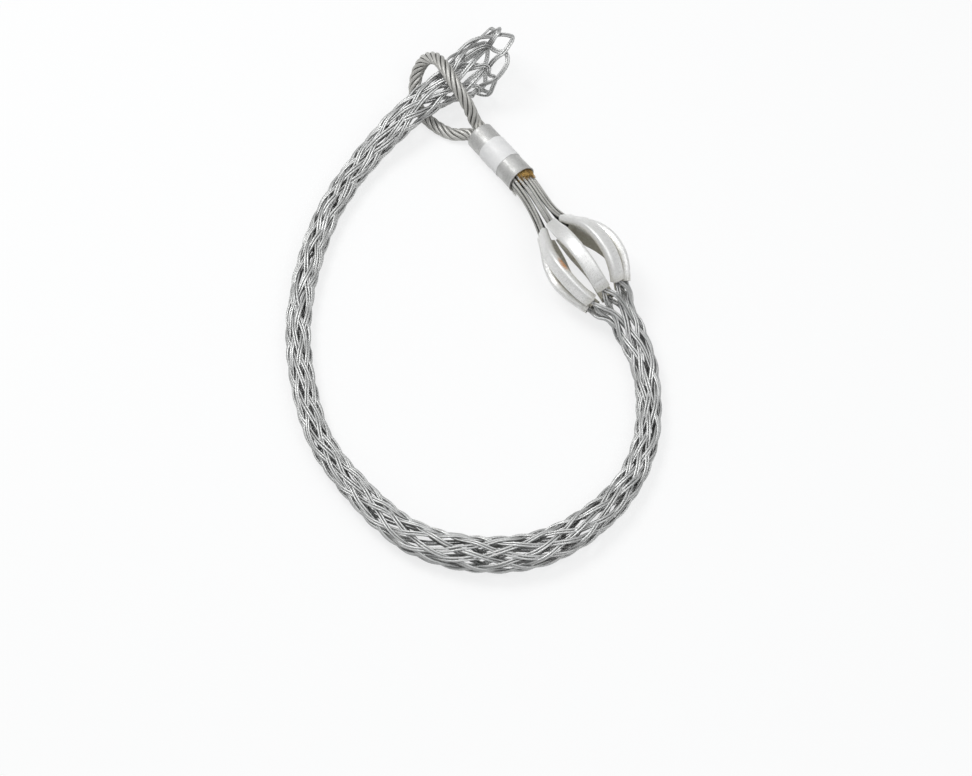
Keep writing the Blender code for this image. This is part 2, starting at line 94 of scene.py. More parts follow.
def waves(draw: np.random.Generator, along: np.ndarray, rates: tuple[float, ...]) -> np.ndarray:
    """A sum of waves along a course, whose heights and starts are drawn at random.

    Args:
        draw: the source of the random numbers.
        along: where on the course the sum is wanted.
        rates: how many radians of each wave go with one unit along.

    Returns:
        The sum at each place.
    """
    total = np.zeros_like(along)
    for rate in rates:
        total += draw.uniform(*WAVE_HEIGHTS) * np.sin(rate * along + draw.uniform(*WAVE_STARTS))
    return total


class Course:
    """A smooth course through rows of numbers, whose first three columns are a place."""

    SAMPLES = 40

    def __init__(self, rows: np.ndarray) -> None:
        """Fit the course.

        Args:
            rows: one row for each point that it passes; further columns are blended alike.
        """
        rows = np.array(rows, dtype=float)
        steps = np.linalg.norm(np.diff(rows[:, :3], axis=0), axis=1)[:, None]
        slopes = np.diff(rows, axis=0) / steps
        inner = (slopes[:-1] * steps[1:] + slopes[1:] * steps[:-1]) / (steps[1:] + steps[:-1])
        tangents = np.vstack((slopes[:1], inner, slopes[-1:]))
        share = np.linspace(0.0, 1.0, self.SAMPLES, endpoint=False)[None, :, None]
        start = rows[:-1, None] * (1.0 + 2.0 * share) * (1.0 - share) ** 2
        leave = (tangents[:-1] * steps)[:, None] * share * (1.0 - share) ** 2
        reach = rows[1:, None] * share**2 * (3.0 - 2.0 * share)
        arrive = (tangents[1:] * steps)[:, None] * share**2 * (share - 1.0)
        body = (start + leave + reach + arrive).reshape(-1, rows.shape[1])
        self.rows = np.vstack((body, rows[-1:]))
        pieces = np.linalg.norm(np.diff(self.rows[:, :3], axis=0), axis=1)
        self.lengths = np.concatenate(([0.0], np.cumsum(pieces)))
        self.length = float(self.lengths[-1])
        self.slopes = np.gradient(self.rows[:, :3], self.lengths, axis=0)

    def column(self, distance: np.ndarray, number: int) -> np.ndarray:
        """One column of the course at distances along it."""
        return np.interp(distance, self.lengths, self.rows[:, number])

    def place(self, distance: np.ndarray) -> np.ndarray:
        """The places at distances along the course."""
        return np.stack([self.column(distance, axis) for axis in range(3)], axis=-1)

    def tangent(self, distance: np.ndarray) -> np.ndarray:
        """The directions of travel at distances along the course."""
        parts = [np.interp(distance, self.lengths, self.slopes[:, axis]) for axis in range(3)]
        return unit(np.stack(parts, axis=-1))

    def outward(self, distance: np.ndarray, angle: np.ndarray) -> np.ndarray:
        """The directions square to the course at angles from its right-hand side."""
        tangent = self.tangent(distance)
        side = unit(np.cross(tangent, UP))
        rise = np.cross(side, tangent)
        return side * np.cos(angle)[..., None] + rise * np.sin(angle)[..., None]

    def around(self, distance: np.ndarray, angle: np.ndarray, radius: np.ndarray) -> np.ndarray:
        """The places round the course at angles and radii."""
        return self.place(distance) + self.outward(distance, angle) * np.asarray(radius)[..., None]

    def nearest(self, place: np.ndarray) -> float:
        """The distance along the course at which it passes closest to a place."""
        gaps = np.linalg.norm(self.rows[:, :3] - place, axis=1)
        return float(self.lengths[int(np.argmin(gaps))])

    def around_points(self, points: np.ndarray, spacing: float) -> tuple[np.ndarray, np.ndarray]:
        """Find where some points lie beside the course.

        Args:
            points: places near the course.
            spacing: how finely the course is searched.

        Returns:
            The distance along the course beside each point, and the point's distance from it.
        """
        marks = np.linspace(0.0, self.length, max(int(self.length / spacing), 2))
        middle = self.place(marks)
        beside, apart = [], []
        for block in np.array_split(points, max(len(points) // 2000, 1)):
            gaps = np.linalg.norm(block[:, None] - middle[None], axis=2)
            beside.append(marks[np.argmin(gaps, axis=1)])
            apart.append(np.min(gaps, axis=1))
        return np.concatenate(beside), np.concatenate(apart)


@dataclass(frozen=True)
class FerruleLay:
    """Sizes of the ferrule and where it lies."""

    length: float = 66.0 * MM
    bore: float = 12.65 * MM
    outer: float = 14.05 * MM
    flare: float = 0.6 * MM
    flare_length: float = 4.0 * MM
    start: tuple[float, float, float] = (-6.0 * MM, 259.0 * MM, 14.15 * MM)
    mouth: tuple[float, float, float] = (33.5 * MM, 206.5 * MM, 21.15 * MM)
    tuft_angle: float = math.radians(118.0)

    def axes(self) -> tuple[np.ndarray, np.ndarray, np.ndarray, np.ndarray]:
        """The eye end, the direction of travel, the side and the rise."""
        start = np.array(self.start) + ORIGIN
        along = unit(np.array(self.mouth) - np.array(self.start))
        side = unit(np.cross(along, UP))
        return start, along, side, np.cross(side, along)

    def spoke(self, turn: float) -> np.ndarray:
        """The direction out of the axis at an angle from its side."""
        _, _, side, rise = self.axes()
        return side * math.cos(turn) + rise * math.sin(turn)

    def on_axis(self, depth: float) -> np.ndarray:
        """The place on the axis at a depth from the eye end."""
        start, along, _, _ = self.axes()
        return start + along * depth


@dataclass(frozen=True)
class CageLay:
    """Sizes of the shoulder of tubes and of the sleeve's spine."""

    count: int = 8
    phase: float = math.radians(-16.0)
    start: float = 66.0 * MM
    span: float = 86.0 * MM
    start_slant: float = 3.0 * MM
    end_slant: float = 8.0 * MM
    slant_rows: int = 4
    top_radius: float = 16.4 * MM
    radius: float = 33.4 * MM
    end_radius: float = 21.5 * MM
    rise: tuple[tuple[float, float], ...] = ((0.0, 0.0), (0.18, 0.38), (0.36, 0.8))
    crest: float = 0.55
    fall: tuple[tuple[float, float], ...] = ((0.74, 0.84), (0.89, 0.42), (1.0, 0.0))
    strand_entry: float = 11.0 * MM
    pair_entry: float = 13.0 * MM
    wall: float = 5.2 * MM
    floor_gap: float = 0.1 * MM
    mouth_gap: float = 2.7 * MM
    over_leg: float = 12.8 * MM
    crest_height: float = 38.3 * MM
    neck_share: float = 0.76
    plans: tuple[tuple[float, float], ...] = (
        (66.0 * MM, 147.0 * MM),
        (94.3 * MM, 105.8 * MM),
        (112.0 * MM, 79.0 * MM),
    )

    def sleeve_rows(self) -> list[tuple[float, float, float, float]]:
        """Plan x, plan y, underside and clear radius of the sleeve, row by row."""
        low = self.floor_gap
        over = self.over_leg
        rows = (
            (122.0, 66.0, 8.5 * MM, 11.0),
            (133.0, 46.8, 2.0 * MM, 9.8),
            (143.2, 20.4, low, 8.2),
            (147.5, -15.0, low, 7.2),
            (145.5, -50.0, low, 7.2),
            (130.5, -94.0, low, 7.8),
            (97.0, -135.0, low, 10.0),
            (47.0, -164.5, low, 11.6),
            (-5.0, -170.0, low, 11.8),
            (-62.0, -154.5, low, 10.6),
            (-116.0, -105.5, low, 8.2),
            (-148.0, -60.0, low, 7.2),
            (-166.5, 0.0, low, 7.2),
            (-172.5, 55.0, low, 7.2),
            (-165.0, 120.0, low, 7.2),
            (-144.0, 184.0, low, 7.4),
            (-108.0, 240.0, 3.0 * MM, 8.0),
            (-85.0, 264.0, 0.72 * over, 9.2),
            (-61.0, 286.0, over, 10.2),
            (-37.0, 304.0, over, 12.6),
            (-22.5, 315.5, 9.0 * MM, 17.0),
            (-8.0, 326.0, 4.2 * MM, 21.4),
            (5.5, 329.5, self.mouth_gap, 25.6),
        )
        return [(x * MM, y * MM, under, bore * MM) for x, y, under, bore in rows]

    def spine(self, ferrule: FerruleLay) -> Course:
        """The middle of the shoulder and the sleeve, from the ferrule's mouth to the open end."""
        start, along, _, _ = ferrule.axes()
        mouth = start + along * ferrule.length - ORIGIN
        neck = self.end_radius - self.wall / 2.0
        heights = (
            (ferrule.mouth[2] + self.crest_height) / 2.0,
            self.crest_height,
            self.neck_share * self.crest_height,
        )
        rows = [(*mouth, neck)]
        rows += [(*plan, height, neck) for plan, height in zip(self.plans, heights)]
        rows += [(x, y, under + self.wall + bore, bore) for x, y, under, bore in self.sleeve_rows()]
        moved = np.array(rows)
        moved[:, :3] += ORIGIN
        return Course(moved)

    def angle(self, index: int) -> float:
        """The angle of one pair round the sleeve, before the sleeve's twist."""
        return 2.0 * math.pi * index / self.count

    def tube_angle(self, index: int) -> float:
        """The angle of one tube round the shoulder."""
        return self.angle(index) + self.phase

    def tube(self, spine: Course, index: int) -> Course:
        """The middle line of one tube; the upper tubes end sooner."""
        upper = max(0.0, math.sin(self.tube_angle(index)))
        start = self.start + self.start_slant * upper
        span = self.start + self.span - self.end_slant * upper - start
        up = self.radius - self.top_radius
        down = self.radius - self.end_radius
        pairs = [(share, self.top_radius + up * part) for share, part in self.rise]
        pairs.append((self.crest, self.radius))
        pairs += [(share, self.end_radius + down * part) for share, part in self.fall]
        shares = np.array(pairs)
        angles = np.full(len(pairs), self.tube_angle(index))
        return Course(spine.around(start + span * shares[:, 0], angles, shares[:, 1]))

    def tube_outward(self, spine: Course, tube: Course, index: int, distance: float) -> np.ndarray:
        """The outward direction square to one tube at a distance along it."""
        near = spine.nearest(tube.place(distance))
        out = spine.outward(near, np.array(self.tube_angle(index)))
        along = tube.tangent(distance)
        return unit(out - along * float(out @ along))


class Bench:
    """Small acts at the bench that every sub-assembly uses."""

    @staticmethod
    def clear() -> None:
        """Leave edit mode and deselect everything."""
        if bpy.context.mode != "OBJECT":
            bpy.ops.object.mode_set(mode="OBJECT")
        bpy.ops.object.select_all(action="DESELECT")

    @staticmethod
    def pick(*items: bpy.types.Object) -> None:
        """Select some objects and make the first one active."""
        Bench.clear()
        for item in items:
            item.select_set(True)
        bpy.context.view_layer.objects.active = items[0]

    @staticmethod
    def add(name: str, data: bpy.types.ID) -> bpy.types.Object:
        """Add an object to the scene for a mesh, a curve, a lamp or a camera."""
        item = bpy.data.objects.new(name, data)
        bpy.context.scene.collection.objects.link(item)
        return item

    @staticmethod
    def join(name: str, items: list[bpy.types.Object]) -> bpy.types.Object:
        """Join objects into one that has a mesh of its own.

        Args:
            name: the joined piece's name.
            items: the objects to join.

        Returns:
            The joined object.
        """
        Bench.pick(*items)
        if len(items) > 1:
            bpy.ops.object.join()
        made = bpy.context.view_layer.objects.active
        made.name = name
        made.data.name = name
        return made

    @staticmethod
    def seal(item: bpy.types.Object, distance: float = 0.002 * MM) -> None:
        """Merge doubled points and turn the faces outwards."""
        Bench.pick(item)
        bpy.ops.object.mode_set(mode="EDIT")
        bpy.ops.mesh.select_all(action="SELECT")
        bpy.ops.mesh.remove_doubles(threshold=distance)
        bpy.ops.mesh.normals_make_consistent(inside=False)
        bpy.ops.object.mode_set(mode="OBJECT")

    @staticmethod
    def apply(item: bpy.types.Object, kind: str, **settings: float | bool | str) -> None:
        """Add a modifier with its settings and apply it.

        Args:
            item: the object that gets it.
            kind: the modifier's type.
            **settings: values for the modifier's own fields.
        """
        Bench.pick(item)
        modifier = item.modifiers.new(kind.lower(), kind)
        for key, value in settings.items():
            setattr(modifier, key, value)
        bpy.ops.object.modifier_apply(modifier=modifier.name)

    @staticmethod
    def mark(item: bpy.types.Object, name: str, values: np.ndarray) -> None:
        """Store one number for each point of a mesh, for its material to read."""
        layer = item.data.attributes.new(name, "FLOAT", "POINT")
        layer.data.foreach_set("value", np.asarray(values, dtype=np.float32))

    @staticmethod
    def mark_all(item: bpy.types.Object, name: str, values: np.ndarray | float) -> None:
        """Write new numbers into a mark that a mesh has already."""
        count = len(item.data.vertices)
        filled = np.broadcast_to(np.asarray(values, dtype=np.float32), (count,))
        item.data.attributes[name].data.foreach_set("value", np.ascontiguousarray(filled))

    @staticmethod
    def place(item: bpy.types.Object, points: np.ndarray) -> None:
        """Move a mesh's points to new places."""
        item.data.vertices.foreach_set("co", np.asarray(points, dtype=np.float32).ravel())
        item.data.update()

    @staticmethod
    def points(item: bpy.types.Object) -> np.ndarray:
        """The places of a mesh's points."""
        flat = np.zeros(len(item.data.vertices) * 3, dtype=np.float32)
        item.data.vertices.foreach_get("co", flat)
        return flat.reshape(-1, 3).astype(float)

    @staticmethod
    def settle(
        item: bpy.types.Object,
        slot: Slot,
        material: bpy.types.Material,
        *nodes: str,
        sharp: float = 50.0,
    ) -> None:
        """Smooth and dress a piece, let it ride on the body and let it stand for CAD nodes.

        Args:
            item: the finished piece.
            slot: the record's material slot; not used.
            material: its finish.
            *nodes: the CAD nodes that it stands for.
            sharp: edges that bend more than this, in degrees, stay sharp.
        """
        Bench.pick(item)
        bpy.ops.object.shade_smooth_by_angle(angle=math.radians(sharp))
        item.data.materials.clear()
        item.data.materials.append(material)
        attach(item, "root")
        if nodes:
            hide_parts(*nodes)
        LOG.info("%s: %d faces", item.name, len(item.data.polygons))


@dataclass
class LaidStrand:
    """A strand of wires laid round one another, drawn along a course with a lobed section."""

    diameter: float
    wires: int
    lay: float
    furrow: float = 0.2
    step: float = 2.5 * MM
    profile: bpy.types.Object | None = field(default=None, init=False)

    def section(self) -> bpy.types.Object:
        """The closed outline of the strand, one crown and one furrow to a wire."""
        if self.profile is None:
            Bench.clear()
            bpy.ops.curve.primitive_nurbs_circle_add(radius=self.diameter / 2.0)
            self.profile = bpy.context.view_layer.objects.active
            curve = self.profile.data
            curve.splines.remove(curve.splines[0])
            spline = curve.splines.new("POLY")
            count = 2 * self.wires
            spline.points.add(count - 1)
            for number, point in enumerate(spline.points):
                radius = self.diameter / 2.0 * (1.0 - (self.furrow if number % 2 else 0.0))
                turn = 2.0 * math.pi * number / count
                point.co = (radius * math.cos(turn), radius * math.sin(turn), 0.0, 1.0)
            spline.use_cyclic_u = True
        return self.profile

    def draw(self, name: str, course: Course, turn: float = 0.0, hand: int = 1) -> bpy.types.Object:
        """Draw the strand along a course.

        Args:
            name: the object's name.
            course: the middle line.
            turn: where the wires start round the strand.
            hand: 1 for a right-hand lay and -1 for a left-hand one.

        Returns:
            A mesh with the depth of its furrows stored as an attribute.
        """
        rings = max(int(round(course.length / self.step)), 2) + 1
        distances = np.linspace(0.0, course.length, rings)
        places = course.place(distances)
        curve = bpy.data.curves.new(name, "CURVE")
        curve.dimensions = "3D"
        curve.twist_mode = "MINIMUM"
        curve.bevel_mode = "OBJECT"
        curve.bevel_object = self.section()
        curve.use_fill_caps = True
        spline = curve.splines.new("POLY")
        spline.points.add(rings - 1)
        rows = np.hstack((places, np.ones((rings, 1))))
        spline.points.foreach_set("co", rows.ravel())
        tilts = turn + hand * 2.0 * math.pi * distances / self.lay
        spline.points.foreach_set("tilt", tilts)
        Bench.pick(Bench.add(name, curve))
        bpy.ops.object.convert(target="MESH")
        item = bpy.context.view_layer.objects.active
        self.store_furrow(item, places)
        Bench.seal(item)
        return item

    def store_furrow(self, item: bpy.types.Object, places: np.ndarray) -> None:
        """Store 1 in the furrows and 0 on the crowns, from each point's distance to the middle."""
        points = Bench.points(item)
        around = 2 * self.wires
        ring = np.minimum(np.arange(len(points)) // around, len(places) - 1)
        depth = np.zeros(len(points))
        body = len(places) * around
        gaps = np.linalg.norm(points[:body] - places[ring[:body]], axis=1)
        crown = self.diameter / 2.0
        depth[:body] = np.clip((crown - gaps) / (crown * self.furrow), 0.0, 1.0)
        Bench.mark(item, "furrow", depth)

    def discard(self) -> None:
        """Remove the outline once its strands are drawn."""
        if self.profile is not None:
            bpy.data.objects.remove(self.profile, do_unlink=True)
            self.profile = None


class Graph:
    """A material or a shared group under construction."""

    def __init__(self, tree: bpy.types.NodeTree) -> None:
        """Keep the tree that nodes are added to."""
        self.tree = tree

    def feed(self, value: Source, socket: bpy.types.NodeSocket) -> None:
        """Set a socket to a number or a colour, or lead another socket to it."""
        if isinstance(value, bpy.types.NodeSocket):
            self.tree.links.new(value, socket)
        elif isinstance(value, tuple):
            socket.default_value = (*value, 1.0)
        else:
            socket.default_value = value

    def node(
        self, kind: str, feeds: dict[str | int, Source] | None = None, **settings: Setting
    ) -> bpy.types.Node:
        """Add a node.

        Args:
            kind: the node's type.
            feeds: what goes into its inputs, by their names or numbers.
            **settings: values for the node's own fields.

        Returns:
            The node.
        """
        made = self.tree.nodes.new(kind)
        for key, value in settings.items():
            setattr(made, key, value)
        for key, value in (feeds or {}).items():
            self.feed(value, made.inputs[key])
        return made

    def mark(self, name: str) -> bpy.types.NodeSocket:
        """The number that a mesh stores for its points under a name."""
        return self.node("ShaderNodeAttribute", attribute_name=name).outputs["Fac"]

    def places(self) -> bpy.types.NodeSocket:
        """The places on the object."""
        return self.node("ShaderNodeTexCoord").outputs["Object"]

    def noise(self, vector: Source, scale: Source, detail: float) -> bpy.types.NodeSocket:
        """Noise over a vector, as a number from 0 to 1."""
        feeds = {"Vector": vector, "Scale": scale, "Detail": detail}
        return self.node("ShaderNodeTexNoise", feeds).outputs["Fac"]

    def span(
        self, value: Source, low: tuple[float, float], high: tuple[float, float]
    ) -> bpy.types.NodeSocket:
        """Map a value from a range of its own to another, held at both ends."""
        ends = dict(zip(("From Min", "From Max", "To Min", "To Max"), (*low, *high)))
        return self.node("ShaderNodeMapRange", {"Value": value, **ends}, clamp=True).outputs["Result"]

    def blend(self, share: Source, first: Source, second: Source) -> bpy.types.NodeSocket:
        """Mix two colours by the share of the second."""
        feeds = {"Factor": share, 6: first, 7: second}
        return self.node("ShaderNodeMix", feeds, data_type="RGBA").outputs[2]

    def math(self, operation: str, first: Source, second: Source) -> bpy.types.NodeSocket:
        """One sum of two values."""
        return self.node("ShaderNodeMath", {0: first, 1: second}, operation=operation).outputs[0]

    def scaled(self, value: Source, factor: Source) -> bpy.types.NodeSocket:
        """A value times a factor."""
        return self.math("MULTIPLY", value, factor)


class SharedGroups:
    """Shader groups that more than one finish uses."""

    FINE_TO_WIDE = 9.0
    FINE_SHARE = 0.5
    CROSSINGS = ((0.0, 0.0), (0.35, 7.3))

    @staticmethod
    def begin(name: str, **values: float) -> tuple[Graph, bpy.types.NodeInputs]:
        """Start a group.

        Args:
            name: the group's name.
            **values: its inputs with their first values.

        Returns:
            The group's graph, and the sockets that its inputs come out of.
        """
        tree = bpy.data.node_groups.new(name, "ShaderNodeTree")
        for label, value in values.items():
            socket = tree.interface.new_socket(label, in_out="INPUT", socket_type="NodeSocketFloat")
            socket.default_value = value
        tree.interface.new_socket("Mask", in_out="OUTPUT", socket_type="NodeSocketFloat")
        graph = Graph(tree)
        return graph, graph.node("NodeGroupInput").outputs

    @classmethod
    def soiling(cls) -> bpy.types.NodeTree:
        """Dirt and dulling in soft patches: a wide and a fine noise together."""
        graph, given = cls.begin("soiling", Scale=40.0, Contrast=2.0)
        where = graph.places()
        wide = graph.noise(where, given["Scale"], 5.0)
        fine = graph.noise(where, graph.scaled(given["Scale"], cls.FINE_TO_WIDE), 3.0)
        both = graph.math("ADD", wide, graph.scaled(fine, cls.FINE_SHARE))
        centred = graph.math("SUBTRACT", both, (1.0 + cls.FINE_SHARE) / 2.0)
        spread = graph.math("ADD", graph.scaled(centred, given["Contrast"]), 0.5)
        held = graph.node("ShaderNodeClamp", {"Value": spread})
        graph.node("NodeGroupOutput", {"Mask": held.outputs["Result"]})
        return graph.tree

    @classmethod
    def scratches(cls) -> bpy.types.NodeTree:
        """Fine scratches in two directions over the surface's own map."""
        graph, given = cls.begin("scratches", Across=60.0, Along=6.0, Fine=0.62)
        layer = graph.node("ShaderNodeUVMap", uv_map="lay").outputs["UV"]
        parts = graph.node("ShaderNodeSeparateXYZ", {"Vector": layer}).outputs
        masks = []
        for slant, shift in cls.CROSSINGS:
            slid = graph.math("ADD", parts["X"], graph.scaled(parts["Y"], slant))
            moved = graph.math("ADD", parts["Y"], shift)
            feeds = {"X": graph.scaled(slid, given["Across"]), "Y": graph.scaled(moved, given["Along"])}
            joined = graph.node("ShaderNodeCombineXYZ", feeds).outputs["Vector"]
            masks.append(graph.math("GREATER_THAN", graph.noise(joined, 1.0, 6.0), given["Fine"]))
        graph.node("NodeGroupOutput", {"Mask": graph.math("MAXIMUM", *masks)})
        return graph.tree

    @staticmethod
    def use(
        graph: Graph, make: Callable[[], bpy.types.NodeTree], **values: float
    ) -> bpy.types.NodeSocket:
        """Place a group in a material, made at its first use, and return its mask."""
        tree = bpy.data.node_groups.get(make.__name__) or make()
        return graph.node("ShaderNodeGroup", values, node_tree=tree).outputs["Mask"]


@dataclass(frozen=True)
class Finish:
    """What every finish states, and how its layers become a material."""

    name: str
    metallic: float = 0.0
    roughness: tuple[float, float] = (0.4, 0.6)
    coat: float = 0.0
    coat_roughness: float = 0.3
    relief: float = 0.0
    relief_share: float = 0.6

    def layers(self, graph: Graph) -> tuple[Source, Source, Source]:
        """The colour, the roughness and the height of the surface."""
        raise NotImplementedError

    def build(self) -> bpy.types.Material:
        """Build the material."""
        material = bpy.data.materials.new(self.name)
        material.use_nodes = True
        graph = Graph(material.node_tree)
        colour, roughness, height = self.layers(graph)
        feeds = {"Base Color": colour, "Roughness": roughness, "Metallic": self.metallic}
        if self.coat:
            feeds |= {"Coat Weight": self.coat, "Coat Roughness": self.coat_roughness}
        if self.relief:
            raised = {"Strength": self.relief_share, "Distance": self.relief, "Height": height}
            feeds["Normal"] = graph.node("ShaderNodeBump", raised).outputs["Normal"]
        shader = material.node_tree.nodes["Principled BSDF"]
        for label, value in feeds.items():
            graph.feed(value, shader.inputs[label])
        return material


@dataclass(frozen=True)
class StrandFinish(Finish):
    """Zinc-coated or greased steel strands, with painted shade in their furrows and under their outer
    crowns.
    """

    relief: float = 0.05 * MM
    grain: float = 2600.0
    dull: Colour = (0.3, 0.31, 0.31)
    bright: Colour = (0.66, 0.67, 0.67)
    # The colour of the painted shade in the furrows and under the outer crowns.
    furrow: Colour = (0.03, 0.03, 0.028)
    furrow_start: float = 0.15
    furrow_share: float = 0.85
    inside_share: float = 0.74
    patch: float = 55.0
    contrast: float = 1.6

    def layers(self, graph: Graph) -> tuple[Source, Source, Source]:
        """Worn metal, with painted shade in the furrows and under the outer crowns."""
        mask = SharedGroups.use(
            graph, SharedGroups.soiling, Scale=self.patch, Contrast=self.contrast
        )
        # Painted shade: the furrow and inside marks mix the worn metal towards the furrow colour.
        share = graph.span(graph.mark("furrow"), (self.furrow_start, 1.0), (0.0, self.furrow_share))
        inside = graph.scaled(graph.mark("inside"), self.inside_share)
        worn = graph.blend(mask, self.dull, self.bright)
        colour = graph.blend(graph.math("MAXIMUM", share, inside), worn, self.furrow)
        rough = graph.span(mask, WHOLE, self.roughness[::-1])
        return colour, rough, graph.noise(graph.places(), self.grain, 2.0)


@dataclass(frozen=True)
class AluminiumFinish(Finish):
    """Bare aluminium with handling marks: dull patches, scratches, and a darkening inside that is
    painted shade mixed with grime.
    """

    relief: float = 0.08 * MM
    grain: float = 420.0
    dull: Colour = (0.55, 0.55, 0.54)
    bright: Colour = (0.93, 0.93, 0.92)
    # The colour of the painted shade mixed with grime.
    shade_and_grime: Colour = (0.16, 0.14, 0.09)
    grime_share: float = 0.8
    grime_roughness: float = 0.3
    speck: float = 900.0
    rust: Colour = (0.62, 0.25, 0.06)
    scratch: Colour = (0.3, 0.3, 0.29)
    scratch_roughness: float = 0.12
    scratch_depth: float = 0.4
    marked: float = 0.3
    across: float = 60.0
    along: float = 6.0
    fine: float = 0.62
    patch: float = 60.0
    contrast: float = 2.2

    def layers(self, graph: Graph) -> tuple[Source, Source, Source]:
        """Metal under scratches, painted shade mixed with grime, and rust, which are rougher than it.
        """
        mask = SharedGroups.use(
            graph, SharedGroups.soiling, Scale=self.patch, Contrast=self.contrast
        )
        marks = SharedGroups.use(
            graph, SharedGroups.scratches, Across=self.across, Along=self.along, Fine=self.fine
        )
        where = graph.places()
        metal = graph.blend(mask, self.dull, self.bright)
        marked = graph.blend(graph.scaled(marks, self.marked), metal, self.scratch)
        speck = graph.span(graph.noise(where, self.speck, 3.0), (0.35, 0.65), (0.55, 1.0))
        # Painted shade mixed with grime, speckled, where the piece marks it.
        share = graph.scaled(graph.scaled(graph.mark("shade_and_grime"), speck), self.grime_share)
        shaded_and_dirty = graph.blend(share, marked, self.shade_and_grime)
        rusted = graph.blend(graph.scaled(graph.mark("rust"), speck), shaded_and_dirty, self.rust)
        rough = graph.span(mask, WHOLE, self.roughness[::-1])
        rough = graph.math("ADD", rough, graph.scaled(share, self.grime_roughness))
        rough = graph.math("ADD", rough, graph.scaled(marks, self.scratch_roughness))
        grain = graph.noise(where, self.grain, 3.0)
        return rusted, rough, graph.math("SUBTRACT", grain, graph.scaled(marks, self.scratch_depth))


@dataclass(frozen=True)
class WrapFinish(Finish):
    """A bare white film wrap with light creases and scuffs."""

    coat: float = 0.1
    relief: float = 0.12 * MM
    grain: float = 160.0
    white: Colour = (0.8, 0.8, 0.8)
    scuff: Colour = (0.55, 0.56, 0.57)
    worn_share: float = 0.3
    marked: float = 0.5

    def layers(self, graph: Graph) -> tuple[Source, Source, Source]:
        """White film, greyed where it is worn or scratched."""
        mask = SharedGroups.use(graph, SharedGroups.soiling, Scale=70.0, Contrast=3.0)
        marks = SharedGroups.use(graph, SharedGroups.scratches, Across=30.0, Along=22.0, Fine=0.68)
        worn = graph.span(mask, WHOLE, (0.0, self.worn_share))
        scuffed = graph.math("MAXIMUM", worn, graph.scaled(marks, self.marked))
        colour = graph.blend(scuffed, self.white, self.scuff)
        rough = graph.span(mask, WHOLE, self.roughness)
        return colour, rough, graph.noise(graph.places(), self.grain, 2.0)


@dataclass(frozen=True)
class FibreFinish(Finish):
    """Brown natural fibre of a rope's core."""

    dark: Colour = (0.16, 0.09, 0.025)
    pale: Colour = (0.6, 0.38, 0.12)

    def layers(self, graph: Graph) -> tuple[Source, Source, Source]:
        """Dark and pale fibres, with painted shade between them, and no relief beyond their own."""
        mask = SharedGroups.use(graph, SharedGroups.soiling, Scale=240.0, Contrast=3.0)
        tinted = graph.blend(mask, self.dark, self.pale)
        # Painted shade: the furrows between the fibres take the dark colour.
        colour = graph.blend(graph.mark("furrow"), tinted, self.dark)
        return colour, graph.span(mask, WHOLE, self.roughness), 0.0


